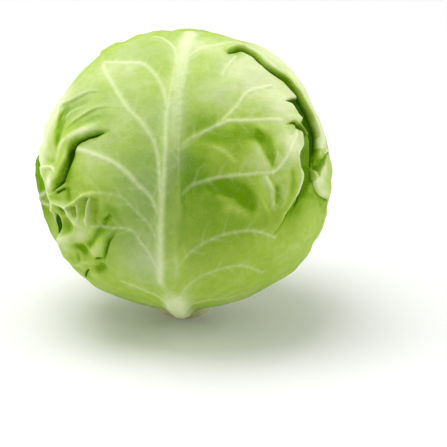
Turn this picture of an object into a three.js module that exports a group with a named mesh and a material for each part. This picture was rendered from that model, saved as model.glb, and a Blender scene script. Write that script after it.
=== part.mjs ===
// A head of white cabbage, trimmed for sale and standing on its cut stem.
// Millimetres, +Z up, origin at the centre of the stem's cut face, the broad front leaf facing -Y.
//
// Every leaf is a thin curved blade that wraps the head. It is laid out flat first, as arc lengths a (across)
// and b (towards the tip) from the middle of the blade, and is then wrapped round the globe. The leaves lie
// in layers: the front leaf is outermost, and each further layer is a step nearer the centre. What stands
// out from a blade, such as its midrib, folds, pleats and waved edge, is relief that is added to its layer.
import * as THREE from "three";

// Driving dimensions in millimetres, and angles in degrees.
const HEAD_RADIUS = 86.2; // of the front leaf's layer
const CENTRE_HEIGHT = 87; // of the globe's centre above the cut face
const BASE_TAPER = 7; // how much slimmer the globe is at the stem
const LAYER_STEP = 2.2; // from one leaf layer to the next
const LAYER_STEP_AT_STEM = 1.8; // what is added to that step where the thick midribs meet the stem
const BLADE_THICKNESS = 1.0;
const STEM_RADIUS = 16;
const STEM_GAP = 0.5; // between a leaf's root and the stem
const STEM_SHOULDER_HEIGHT = 33; // where the stem goes into the inner head and narrows to its core
const CORE_TOP_HEIGHT = 96;
const CORE_TOP_RADIUS = 7;
const CORE_GAP = 0.4;
const LEAF_GREEN = 0x8fb548;
const INNER_GREEN = 0xb9cf7f;
const HEART_GREEN = 0xdfe5b4;
const STEM_WHITE = 0xe6e4c4;

const CENTRE = new THREE.Vector3(0, 0, CENTRE_HEIGHT);
const radians = THREE.MathUtils.degToRad;

function smoothstep(from, to, x) {
  const t = Math.min(1, Math.max(0, (x - from) / (to - from)));
  return t * t * (3 - 2 * t);
}

function lerp(from, to, t) {
  return from + (to - from) * t;
}

// ---------------------------------------------------------------- the globe

// Distance from the globe's centre to a leaf layer, in the direction of the unit vector.
function layerRadius(direction, layer) {
  const taper = BASE_TAPER * smoothstep(-0.4, -1, direction.z);
  const stemRoom = LAYER_STEP_AT_STEM * smoothstep(-0.72, -0.96, direction.z);
  return HEAD_RADIUS - taper - layer * (LAYER_STEP + stemRoom);
}

// The leaf's own axes: out through the middle of its blade, towards its tip, and to its right.
function leafAxes({ azimuth, elevation }) {
  const turn = radians(azimuth);
  const rise = radians(elevation);
  return {
    out: new THREE.Vector3(Math.sin(turn) * Math.cos(rise), -Math.cos(turn) * Math.cos(rise), Math.sin(rise)),
    tip: new THREE.Vector3(-Math.sin(turn) * Math.sin(rise), Math.cos(turn) * Math.sin(rise), Math.cos(rise)),
    right: new THREE.Vector3(Math.cos(turn), Math.sin(turn), 0),
  };
}

// The direction from the globe's centre to the place (a, b) of a leaf.
function wrap(axes, a, b) {
  const arc = Math.hypot(a, b) / HEAD_RADIUS;
  const bearing = Math.atan2(a, b);
  return axes.out
    .clone()
    .multiplyScalar(Math.cos(arc))
    .addScaledVector(axes.right, Math.sin(arc) * Math.sin(bearing))
    .addScaledVector(axes.tip, Math.sin(arc) * Math.cos(bearing));
}

// ---------------------------------------------------------------- lines on a leaf

// A place given as it looks straight from the front, x to the right of the globe's centre and y above it.
const FRONT_VIEW_RADIUS = 89; // of the head's outline in that view
function seen(x, y) {
  const offset = Math.hypot(x, y);
  const arc = HEAD_RADIUS * Math.asin(Math.min(1, offset / FRONT_VIEW_RADIUS));
  return offset > 0 ? [(x * arc) / offset, (y * arc) / offset] : [0, 0];
}

// A smooth line through the points, as short straight pieces.
const PIECES_PER_POINT = 4;
function smoothLine(points) {
  const curve = new THREE.SplineCurve(points.map(([a, b]) => new THREE.Vector2(a, b)));
  return curve.getPoints((points.length - 1) * PIECES_PER_POINT);
}

// Where (a, b) lies beside a line: its distance, how far along it is from 0 to 1, and its side, 1 for left.
function beside(line, a, b) {
  const place = new THREE.Vector2(a, b);
  let nearest = { distance: Infinity, along: 0, side: 1 };
  for (let i = 0; i + 1 < line.length; i++) {
    const run = line[i + 1].clone().sub(line[i]);
    const reach = place.clone().sub(line[i]);
    const share = Math.min(1, Math.max(0, reach.dot(run) / run.lengthSq()));
    const distance = reach.distanceTo(run.clone().multiplyScalar(share));
    if (distance < nearest.distance)
      nearest = { distance, along: (i + share) / (line.length - 1), side: Math.sign(run.cross(reach)) || 1 };
  }
  return nearest;
}

// ---------------------------------------------------------------- relief on a leaf

// A rounded rib or fold, whose half width and height run from the first to the second value along its line.
function ridge(points, [width, endWidth], [height, endHeight]) {
  const line = smoothLine(points);
  return (a, b) => {
    const { distance, along } = beside(line, a, b);
    const half = lerp(width, endWidth, along);
    return lerp(height, endHeight, along) * Math.exp(-((distance / half) ** 3));
  };
}

// A pleat: a narrow valley that stays at the layer's level, between a low lobe and a high lip that swell up
// from it. It opens from nothing and closes again. The lip is on side 1, the left of the line, or on -1.
function pleat(points, { lipSide, lip, lobe, spread, valley: [valley, endValley] }) {
  const line = smoothLine(points);
  return (a, b) => {
    const { distance, along, side } = beside(line, a, b);
    const crest = side === lipSide ? lip : lobe;
    const half = lerp(valley, endValley, along * along);
    const swell = 1 - smoothstep(0.25 * spread, spread, distance);
    const opening = smoothstep(0, 0.25, along) * (1 - smoothstep(0.85, 1, along));
    return crest * opening * swell * (1 - Math.exp(-((distance / half) ** 2)));
  };
}

// The blade puffs up between its veins and is drawn in along them.
const PUFF_HEIGHT = 1.5;
const PUFF_SPREAD = 9;
function puffed(veins) {
  const lines = veins.map(smoothLine);
  return (a, b) => {
    const distance = Math.min(...lines.map((line) => beside(line, a, b).distance));
    return PUFF_HEIGHT * (1 - Math.exp(-((distance / PUFF_SPREAD) ** 2)));
  };
}

// The side veins of a plain leaf: pairs that leave the midrib one above the other and bend towards the tip.
function pairedVeins({ count, first, step, length }) {
  const veins = [];
  for (let i = 0; i < count; i++) {
    const root = first + i * step;
    const run = length * (1 - 0.45 * (i / count));
    for (const side of [-1, 1]) {
      const shift = side * 0.25 * step;
      veins.push([
        [0, root + shift],
        [side * 0.42 * run, root + shift + 0.22 * run],
        [side * 0.8 * run, root + shift + 0.6 * run],
      ]);
    }
  }
  return veins;
}

// Waves along the edge: the share of its full height that a wave has at a bearing, which is none at the root.
function edgeWave(bearing, { count, phase }) {
  const wave = Math.sin(count * bearing + phase) + 0.5 * Math.sin((count * 1.7 + 1) * bearing + 2 * phase);
  return (0.5 + wave / 3) * smoothstep(0, 0.6, 1 + Math.cos(bearing));
}

// Ripples that grow towards the edge, as reach goes from 0 at the middle of the blade to 1 at its edge.
function ripples({ height, from, ...waves }) {
  return (a, b, reach) => height * smoothstep(from, 1, reach) * edgeWave(Math.atan2(a, b), waves);
}

// Slow swellings of the blade.
function swellings({ length, height, phase }) {
  return (a, b) => {
    const across = Math.sin((2 * Math.PI * (a + 0.35 * b)) / length + phase);
    const up = Math.sin((2 * Math.PI * (b - 0.3 * a)) / (1.3 * length) + 2.1 * phase);
    return height * (0.5 + 0.25 * (across + up));
  };
}

// ---------------------------------------------------------------- the leaves

// The veins of the front leaf, as they look from the front.
const FRONT_MIDRIB = [[0, -152], [-3, -120], [-6, -85], seen(-8, -52), seen(-8, -14), seen(-7, 34),
  seen(-1, 67), seen(8, 88), [18, 128]];
const FRONT_VEINS = [
  [[-4, 65], [-7, 78], [-19, 87]],
  [[-11, 40], [-16, 60], [-26, 69], [-51, 72]],
  [[-13, -14], [-16, 11], [-24, 30], [-42, 51], [-51, 69]],
  [[-13, -27], [-23, -8], [-45, 7], [-65, 16]],
  [[-13, -45], [-23, -26], [-37, -14], [-56, -11], [-70, -18]],
  [[-16, -56], [-27, -40], [-45, -33], [-54, -31]],
  [[2, 71], [8, 76], [18, 79], [37, 79]],
  [[0, 21], [13, 27], [28, 35], [40, 51], [57, 56]],
  [[23, 33], [40, 34], [70, 33]],
  [[0, -12], [15, -2], [36, 1], [54, 3], [63, 16], [70, 29]],
  [[54, 3], [59, -13], [60, -19]],
  [[0, -42], [8, -34], [20, -29], [42, -30]],
  [[0, -58], [10, -50], [25, -46], [52, -46]],
].map((vein) => vein.map(([x, y]) => seen(x, y)));

const RIGHT_PLEAT = [seen(24, 74), seen(36, 75), seen(48, 66), seen(59, 58), seen(69, 46), seen(75, 32),
  seen(78, 18), [88, 0], [84, -22], [80, -42]];
const LEFT_PLEAT = [seen(-45, 25), seen(-56, 23), seen(-65, 18), seen(-68, 11), seen(-71, 2), seen(-75, -5),
  seen(-79, -12)];

// columns and rows are those of the leaf's net. reach gives the angle from the middle of the blade to its
// edge, every 20 degrees clockwise from the tip, and scallop how much the waves of the edge add to it.
const LEAVES = [
  {
    name: "leaf_front",
    azimuth: 0,
    elevation: 20,
    layer: 0,
    colour: LEAF_GREEN,
    columns: 58,
    rows: 42,
    reach: [88, 92, 98, 100, 94, 84, 80, 88, 99, 104, 98, 82, 73, 64, 84, 97, 98, 92],
    scallop: { angle: 2.2, count: 17, phase: 1.1 },
    relief: [
      ridge(FRONT_MIDRIB, [10, 4], [6, 0.8]),
      puffed([FRONT_MIDRIB, ...FRONT_VEINS]),
      swellings({ length: 62, height: 1, phase: 0.8 }),
      // the long pleat at the right and the fold of the lobe that runs under it
      pleat(RIGHT_PLEAT, { lipSide: 1, lip: 5.5, lobe: 2.4, spread: 34, valley: [5, 7] }),
      ridge([seen(71, 28), seen(73, 22), seen(71, 4), seen(69, -6), seen(60, -30)], [5, 6], [1.5, 2]),
      // the short pleat at the left and the folds above it
      pleat(LEFT_PLEAT, { lipSide: -1, lip: 5, lobe: 2, spread: 28, valley: [5, 6] }),
      ridge([seen(-54, 50), seen(-63, 46), seen(-75, 42)], [5, 6], [1.4, 1.8]),
      ridge([seen(-47, 42), seen(-60, 35), seen(-71, 28), seen(-80, 19)], [5, 6], [1.2, 1.8]),
      // the crumples that are drawn in to the pinched edge
      ridge([seen(-79, -12), seen(-70, -21), seen(-60, -36)], [5, 6], [3.2, 2]),
      ridge([seen(-56, -13), seen(-59, -28)], [5, 6], [2.2, 1.4]),
      ridge([seen(-74, -27), seen(-72, -38), seen(-66, -48)], [6, 6], [2.6, 2.8]),
      ridge([seen(-43, -39), seen(-52, -46), seen(-59, -52)], [6, 6], [2.6, 2.8]),
      ripples({ count: 17, phase: 0.4, height: 3, from: 0.85 }),
    ],
  },
  {
    name: "leaf_right",
    azimuth: 112,
    elevation: 8,
    layer: 1,
    colour: LEAF_GREEN,
    columns: 20,
    rows: 20,
    reach: [88, 87, 84, 76, 68, 62, 61, 68, 82, 95, 84, 70, 64, 64, 68, 74, 80, 86],
    scallop: { angle: 3, count: 11, phase: 2.6 },
    relief: [
      ridge([[0, -138], [2, -90], [3, -30], [0, 40], [-6, 110]], [11, 4], [6, 1]),
      puffed(pairedVeins({ count: 5, first: -95, step: 38, length: 95 })),
      swellings({ length: 55, height: 1.6, phase: 2.3 }),
      ripples({ count: 13, phase: 1.9, height: 3, from: 0.78 }),
    ],
  },
  {
    name: "leaf_left",
    azimuth: -110,
    elevation: 8,
    layer: 2,
    colour: LEAF_GREEN,
    columns: 20,
    rows: 20,
    reach: [84, 84, 80, 72, 66, 62, 64, 72, 86, 95, 83, 66, 58, 60, 66, 72, 78, 82],
    scallop: { angle: 3, count: 12, phase: 0.7 },
    relief: [
      ridge([[0, -138], [-3, -90], [-4, -30], [1, 40], [6, 105]], [11, 4], [6, 1]),
      puffed(pairedVeins({ count: 5, first: -90, step: 37, length: 90 })),
      swellings({ length: 50, height: 2, phase: 4.1 }),
      // where it bulges past the edge of the front leaf
      ridge([[28, 2], [34, -16], [33, -38], [26, -62]], [15, 17], [6, 4]),
      ripples({ count: 12, phase: 0.2, height: 3, from: 0.78 }),
    ],
  },
  {
    name: "leaf_back",
    azimuth: 184,
    elevation: 5,
    layer: 3,
    colour: LEAF_GREEN,
    columns: 20,
    rows: 16,
    reach: [86, 84, 76, 68, 64, 62, 64, 72, 84, 92, 84, 72, 64, 62, 64, 68, 76, 84],
    scallop: { angle: 0, count: 0, phase: 0 },
    relief: [
      ridge([[0, -135], [2, -80], [0, -20], [-3, 40], [0, 105]], [11, 5], [3, 1]),
      puffed(pairedVeins({ count: 5, first: -88, step: 37, length: 88 })),
      swellings({ length: 48, height: 2, phase: 5.2 }),
    ],
  },
  {
    name: "leaf_inner_right",
    azimuth: 52,
    elevation: 5,
    layer: 4,
    colour: INNER_GREEN,
    columns: 14,
    rows: 14,
    reach: [84, 82, 76, 68, 62, 60, 62, 72, 84, 90, 84, 72, 62, 60, 62, 68, 76, 82],
    scallop: { angle: 0, count: 0, phase: 0 },
    relief: [],
  },
  {
    name: "leaf_inner_left",
    azimuth: -60,
    elevation: 5,
    layer: 5,
    colour: INNER_GREEN,
    columns: 14,
    rows: 14,
    reach: [84, 82, 76, 68, 62, 60, 62, 72, 84, 90, 84, 72, 62, 60, 62, 68, 76, 82],
    scallop: { angle: 0, count: 0, phase: 0 },
    relief: [],
  },
];
const INNER_HEAD_LAYER = 6;

// The angle from the middle of a leaf to its edge at a bearing, on a smooth closed curve through its reach.
function edgeReach(leaf, bearing) {
  const count = leaf.reach.length;
  const turns = bearing / (2 * Math.PI);
  const place = (turns - Math.floor(turns)) * count;
  const first = Math.floor(place);
  const at = (step) => leaf.reach[(first + step + count) % count];
  const t = place - first;
  const slope = (at(1) - at(-1)) / 2;
  const nextSlope = (at(2) - at(0)) / 2;
  const cubic = 2 * (at(0) - at(1)) + slope + nextSlope;
  return radians(at(0) + t * (slope + t * (3 * (at(1) - at(0)) - 2 * slope - nextSlope + t * cubic)));
}

// The same with its waves, and cut back where the leaf's root fits round the stem.
function trimmedReach(leaf, bearing) {
  const poleAngle = radians(90 + leaf.elevation);
  const layer = layerRadius(new THREE.Vector3(0, 0, -1), leaf.layer) - BLADE_THICKNESS;
  const stemAngle = Math.asin((STEM_RADIUS + STEM_GAP) / layer);
  const sideways = Math.sin(poleAngle) * Math.abs(Math.PI - Math.abs(bearing));
  const edge = edgeReach(leaf, bearing) + radians(leaf.scallop.angle) * edgeWave(bearing, leaf.scallop);
  if (sideways >= stemAngle) return edge;
  return Math.min(edge, poleAngle - Math.sqrt(stemAngle ** 2 - sideways ** 2));
}

// How free a leaf is to stand out in a direction: 0 under the leaves outside it, up to 1 beyond their edges.
const HUGGED_ANGLE = radians(1.5);
const FREE_ANGLE = radians(8);
function uncovered(leaf, direction) {
  const outerLeaves = LEAVES.filter((other) => other.layer < leaf.layer);
  const shares = outerLeaves.map((other) => {
    const { out, tip, right } = leafAxes(other);
    const arc = Math.acos(THREE.MathUtils.clamp(direction.dot(out), -1, 1));
    const bearing = Math.atan2(direction.dot(right), direction.dot(tip));
    return smoothstep(HUGGED_ANGLE, FREE_ANGLE, arc - trimmedReach(other, bearing));
  });
  return Math.min(1, ...shares);
}

// How far the outer face stands out from the leaf's layer at (a, b).
function reliefHeight(leaf, a, b, reach, direction) {
  const sum = leaf.relief.reduce((height, shape) => height + shape(a, b, reach), 0);
  return sum * uncovered(leaf, direction);
}

// A leaf as one closed blade: the same net of triangles on its outer and inner face, joined round the edge.
function leafGeometry(leaf) {
  const { columns, rows } = leaf;
  const axes = leafAxes(leaf);
  const outer = [];
  const inner = [];
  for (let row = 0; row <= rows; row++) {
    for (let column = 0; column <= columns; column++) {
      // a square net, drawn in to a round one
      const u = (2 * column) / columns - 1;
      const v = (2 * row) / rows - 1;
      const x = u * Math.sqrt(1 - (v * v) / 2);
      const y = v * Math.sqrt(1 - (u * u) / 2);
      const reach = Math.hypot(x, y);
      const arc = HEAD_RADIUS * trimmedReach(leaf, Math.atan2(x, y));
      const direction = wrap(axes, arc * x, arc * y);
      const relief = reliefHeight(leaf, arc * x, arc * y, reach, direction);
      const radius = layerRadius(direction, leaf.layer) + relief;
      outer.push(CENTRE.clone().addScaledVector(direction, radius));
      inner.push(CENTRE.clone().addScaledVector(direction, radius - BLADE_THICKNESS));
    }
  }
  const faces = [];
  const side = columns + 1;
  const innerStart = outer.length;
  for (let row = 0; row < rows; row++) {
    for (let column = 0; column < columns; column++) {
      const corner = row * side + column;
      const quad = [corner, corner + 1, corner + side + 1, corner + side];
      // each diagonal points to the middle of the blade, so that no corner triangle is flat
      if (row < rows / 2 !== column < columns / 2) quad.push(quad.shift());
      const [p, q, r, s] = quad;
      faces.push([p, q, r], [p, r, s]);
      faces.push([p, r, q].map((i) => i + innerStart), [p, s, r].map((i) => i + innerStart));
    }
  }
  const rim = [];
  for (let i = 0; i < columns; i++) rim.push(i);
  for (let i = 0; i < rows; i++) rim.push(i * side + columns);
  for (let i = columns; i > 0; i--) rim.push(rows * side + i);
  for (let i = rows; i > 0; i--) rim.push(i * side);
  rim.forEach((here, i) => {
    const next = rim[(i + 1) % rim.length];
    faces.push([here, here + innerStart, next + innerStart], [here, next + innerStart, next]);
  });
  return solidGeometry([...outer, ...inner], faces);
}

function solidGeometry(points, faces) {
  const geometry = new THREE.BufferGeometry().setFromPoints(points);
  geometry.setIndex(faces.flat());
  geometry.computeVertexNormals();
  return geometry;
}

// ---------------------------------------------------------------- inner head and stem

// The dense inner leaves as one body, with a socket for the stem's core.
const INNER_HEAD_SECTORS = 28;
const INNER_HEAD_RINGS = 14;
function innerHead() {
  const profile = [];
  const mouthRadius = STEM_RADIUS + STEM_GAP;
  const mouthAngle = Math.asin(mouthRadius / layerRadius(new THREE.Vector3(0, 0, -1), INNER_HEAD_LAYER));
  profile.push([0, CORE_TOP_HEIGHT + CORE_GAP], [CORE_TOP_RADIUS + CORE_GAP, CORE_TOP_HEIGHT + CORE_GAP]);
  for (let ring = 0; ring <= INNER_HEAD_RINGS; ring++) {
    const fromPole = lerp(mouthAngle, Math.PI, ring / INNER_HEAD_RINGS);
    const direction = new THREE.Vector3(Math.sin(fromPole), 0, -Math.cos(fromPole));
    const radius = layerRadius(direction, INNER_HEAD_LAYER);
    const height = CENTRE_HEIGHT + radius * direction.z;
    profile.push([ring === INNER_HEAD_RINGS ? 0 : radius * direction.x, height]);
  }
  return latheGeometry(profile, INNER_HEAD_SECTORS);
}

// The stem: a round cut face, a short stub where the leaves are rooted, and the core inside the head.
const STEM_SECTORS = 28;
function stem() {
  const profile = [
    [0, 0],
    [STEM_RADIUS - 1.2, 0],
    [STEM_RADIUS, 1.2],
    [STEM_RADIUS, STEM_SHOULDER_HEIGHT],
    [CORE_TOP_RADIUS, CORE_TOP_HEIGHT],
    [0, CORE_TOP_HEIGHT],
  ];
  return latheGeometry(profile, STEM_SECTORS);
}

// LatheGeometry turns the profile about Y, so the body is stood up to turn about Z.
function latheGeometry(profile, sectors) {
  const geometry = new THREE.LatheGeometry(
    profile.map(([radius, height]) => new THREE.Vector2(radius, height)),
    sectors,
  );
  return geometry.rotateX(Math.PI / 2);
}

// ---------------------------------------------------------------- the whole head

function finish(colour, roughness) {
  return new THREE.MeshStandardMaterial({ color: colour, roughness, metalness: 0 });
}

function piece(name, geometry, material) {
  const mesh = new THREE.Mesh(geometry, material);
  mesh.name = name;
  return mesh;
}

const cabbage = new THREE.Group();
cabbage.add(piece("stem", stem(), finish(STEM_WHITE, 0.6)));
cabbage.add(piece("inner_head", innerHead(), finish(HEART_GREEN, 0.5)));
for (const leaf of LEAVES) cabbage.add(piece(leaf.name, leafGeometry(leaf), finish(leaf.colour, 0.45)));

export default cabbage;
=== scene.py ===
"""A head of white cabbage on its cut stem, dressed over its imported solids.

Lengths are in millimetres and angles in degrees until a mesh is written in metres. Every leaf is laid out
flat first, as arc lengths across its blade and along it towards the tip, and is then wrapped round the globe.
"""

import logging
import math
from dataclasses import dataclass, field
from enum import Enum
from typing import Any, Sequence, Union

import bpy
import numpy as np
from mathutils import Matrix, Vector


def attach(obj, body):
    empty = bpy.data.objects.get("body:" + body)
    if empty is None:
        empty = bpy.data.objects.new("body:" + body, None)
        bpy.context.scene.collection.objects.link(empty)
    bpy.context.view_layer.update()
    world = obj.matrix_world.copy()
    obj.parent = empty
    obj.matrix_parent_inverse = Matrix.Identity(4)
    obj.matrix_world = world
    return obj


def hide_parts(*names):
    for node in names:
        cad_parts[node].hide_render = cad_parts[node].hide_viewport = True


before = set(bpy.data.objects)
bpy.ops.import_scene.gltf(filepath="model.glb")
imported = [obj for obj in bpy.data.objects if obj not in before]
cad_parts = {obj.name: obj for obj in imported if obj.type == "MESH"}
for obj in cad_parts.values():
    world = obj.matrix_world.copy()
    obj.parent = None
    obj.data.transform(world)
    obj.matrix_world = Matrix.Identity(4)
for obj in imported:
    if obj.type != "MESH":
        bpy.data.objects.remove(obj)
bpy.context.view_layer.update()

log = logging.getLogger("cabbage")

Array = np.ndarray
Pair = tuple[float, float]
Colour = tuple[float, float, float]
Point = tuple[float, float, float]

MM = 0.001
HEAD_RADIUS = 86.2  # of the front leaf's layer
CENTRE_HEIGHT = 87.0  # of the globe's centre above the cut face
BASE_TAPER = 7.0  # how much slimmer the globe is at the stem
LAYER_STEP = 2.2  # from one leaf layer to the next
LAYER_STEP_AT_STEM = 1.8  # what is added to that step where the thick midribs meet the stem
BLADE_THICKNESS = 1.0
LOWEST = -0.7  # how far a crease may sink below its leaf's layer
STEM_RADIUS = 16.0
STEM_GAP = 0.5  # between a leaf's root and the stem
VIEW_DISTANCE = 2000.0  # of the eye from the globe's centre
SKIN_RADIUS = 88.3  # of the front leaf's skin
FAR = 1.0e3  # the distance of all places that a line doesn't reach
BELL_REACH = 2.5  # half widths beyond which a bell curve is nothing


# ---------------------------------------------------------------- numbers and lines


def smoothstep(start: float, end: float, x: Array) -> Array:
    """Eases from 0 at start to 1 at end."""
    t = np.clip((x - start) / (end - start), 0.0, 1.0)
    return t * t * (3.0 - 2.0 * t)


def lerp(values: Pair, share: Array) -> Array:
    """Runs from the first value to the second as share goes from 0 to 1."""
    return values[0] + (values[1] - values[0]) * share


def hump(x: Array, half: Union[Array, float], middle: float = 0.0) -> Array:
    """A bell curve that is 1 in its middle, with its half width."""
    return np.exp(-(((x - middle) / half) ** 2))


def seen(x: float, y: float, radius: float = SKIN_RADIUS) -> Pair:
    """Turns a place as it looks from the front into arc lengths on the front leaf.

    Args:
        x: To the right of the globe's centre, in the plane of the globe's centre.
        y: Above it.
        radius: How far the place is from the globe's centre.

    Returns:
        How far the place is across the blade and along it.
    """
    offset = math.hypot(x, y)
    if offset == 0.0:
        return 0.0, 0.0
    turn = 0.5 * math.pi
    for _ in range(6):  # how near the place is and how far round it lies settle together
        nearness = 1 - radius * math.cos(turn) / VIEW_DISTANCE
        turn = math.asin(min(1.0, offset * nearness / radius))
    return x * HEAD_RADIUS * turn / offset, y * HEAD_RADIUS * turn / offset


def seen_line(*points: Pair, radius: float = SKIN_RADIUS) -> tuple[Pair, ...]:
    """Turns a line of places as they look from the front into arc lengths."""
    return tuple(seen(x, y, radius) for x, y in points)


@dataclass(frozen=True)
class Beside:
    """How places lie beside a line: only those nearer than its limit have true values."""

    distance: Array
    share: Array
    side: Array
    away: Array


class Line:
    """A smooth line on a blade through a few points."""

    PIECES_PER_POINT = 6

    def __init__(self, points: Sequence[Pair]) -> None:
        """Lays the line through its points.

        Args:
            points: Arc lengths across and along the blade.
        """
        knots = np.array(points, float)
        last = len(knots) - 1
        track = []
        for i in range(last):
            before, beyond = knots[max(i - 1, 0)], knots[min(i + 2, last)]
            here, there = knots[i], knots[i + 1]
            for t in np.arange(self.PIECES_PER_POINT) / self.PIECES_PER_POINT:
                bend = (2 * here - 2 * there) + 0.5 * (there - before) + 0.5 * (beyond - here)
                turn = -3 * here + 3 * there - (there - before) - 0.5 * (beyond - here)
                track.append(((bend * t + turn) * t + 0.5 * (there - before)) * t + here)
        self.track: Array = np.array(track + [knots[-1]])

    @property
    def length(self) -> float:
        """The length of the line."""
        return float(np.linalg.norm(np.diff(self.track, axis=0), axis=1).sum())

    def beside(self, places: "Places", limit: float) -> Beside:
        """Finds where places lie beside the line.

        Args:
            places: The places on the blade.
            limit: The distance beyond which nothing depends on the line.

        Returns:
            The distance, the share of the line's length, the side (1 on its left) and the way from the line.
        """
        count = len(places.across)
        distance = np.full(count, FAR)
        share = np.zeros(count)
        side = np.ones(count)
        away = np.zeros((count, 2))
        low, high = self.track.min(0) - limit, self.track.max(0) + limit
        spots = np.stack([places.across, places.along], 1)
        near = np.flatnonzero(((spots > low) & (spots < high)).all(1))
        spots = spots[near]
        nearest = np.full(len(near), FAR)
        steps = np.diff(self.track, axis=0)
        for i, run in enumerate(steps):
            reach = spots - self.track[i]
            part = np.clip(reach @ run / (run @ run), 0.0, 1.0)
            off = reach - part[:, None] * run
            length = np.hypot(off[:, 0], off[:, 1])
            closer = length < nearest
            nearest[closer] = length[closer]
            where = near[closer]
            share[where] = (i + part[closer]) / len(steps)
            turn = run[0] * reach[closer, 1] - run[1] * reach[closer, 0]
            side[where] = np.where(turn < 0, -1.0, 1.0)
            away[where] = off[closer] / np.maximum(length[closer], 1e-6)[:, None]
        distance[near] = nearest
        return Beside(distance, share, side, away)

    def encloses(self, places: "Places") -> Array:
        """Whether the line, closed from its end to its start, runs round each place.

        Args:
            places: The places on the blade.

        Returns:
            True for each place inside.
        """
        x, y = places.across, places.along
        inside = np.zeros(len(x), bool)
        for (ax, ay), (bx, by) in zip(self.track, np.roll(self.track, -1, axis=0)):
            if ay != by:
                inside ^= ((ay > y) != (by > y)) & (x < ax + (y - ay) * (bx - ax) / (by - ay))
        return inside


@dataclass
class Places:
    """Places on a blade that is laid out flat.

    across and along are arc lengths, and reach goes from 0 at the middle of the blade to 1 at its edge.
    """

    across: Array
    along: Array
    reach: Array

    @property
    def bearing(self) -> Array:
        """The bearing of each place from the middle of the blade, 0 towards the tip, in radians."""
        return np.arctan2(self.across, self.along)


# ---------------------------------------------------------------- relief


@dataclass
class Form:
    """What a piece of relief does at each place of a blade.

    height is how far it stands out, shift how far the place is drawn across and along the blade, crease how
    much painted shade of a groove it has, from 0 to 1, and tone how much paler, above 0, or deeper its green
    is, from its own green and from painted light and painted shade.
    """

    height: Union[Array, float] = 0.0
    shift: Union[Array, float] = 0.0
    crease: Union[Array, float] = 0.0
    tone: Union[Array, float] = 0.0


class Relief:
    """A piece of the relief, green or painted light and shade of a blade, which most pieces lay along a line.
    """

    points: tuple[Pair, ...]

    @property
    def detail(self) -> float:
        """The scale of its finest detail, which is endless where the mesh needn't be finer for it."""
        return math.inf

    def formed(self, places: Places) -> Form:
        """What it does at each place of a blade."""
        raise NotImplementedError


def fading(share: Array, fade: Pair) -> Array:
    """Comes up over the first share of a line and dies away over the last."""
    return smoothstep(-1e-3, fade[0], share) * smoothstep(-1e-3, fade[1], 1 - share)


@dataclass(frozen=True)
class Ridge(Relief):
    """A rounded rib, whose half width and height run from the first value to the second along it."""

    points: tuple[Pair, ...]
    half: Pair
    height: Pair
    fade: Pair = (0.0, 0.0)
    flatness: float = 2.0
    tone: float = 0.0

    @property
    def detail(self) -> float:
        """The scale of its finest detail."""
        return min(self.half)

    def formed(self, places: Places) -> Form:
        """The ridge at each place.

        Args:
            places: The places on the blade.

        Returns:
            Its form there.
        """
        by = Line(self.points).beside(places, BELL_REACH * max(self.half))
        across = np.exp(-((by.distance / lerp(self.half, by.share)) ** self.flatness))
        profile = across * fading(by.share, self.fade)
        return Form(height=lerp(self.height, by.share) * profile, tone=self.tone * profile)


@dataclass(frozen=True)
class Crease(Relief):
    """A groove with painted shade towards its bottom."""

    points: tuple[Pair, ...]
    half: float
    depth: float
    dark: float = 0.8
    fade: Pair = (0.2, 0.2)

    SHARPNESS = 1.5  # how much narrower the painted shade is than the groove, as a power of its profile

    @property
    def detail(self) -> float:
        """The scale of its finest detail."""
        return self.half

    def formed(self, places: Places) -> Form:
        """The groove at each place.

        Args:
            places: The places on the blade.

        Returns:
            Its form there.
        """
        by = Line(self.points).beside(places, BELL_REACH * self.half)
        profile = hump(by.distance, self.half) * fading(by.share, self.fade)
        # the groove's painted shade
        return Form(height=-self.depth * profile, crease=self.dark * profile**self.SHARPNESS)


class Side(Enum):
    """The side of a line that a fold or a shade is on."""

    LEFT = 1.0
    RIGHT = -1.0


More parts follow.
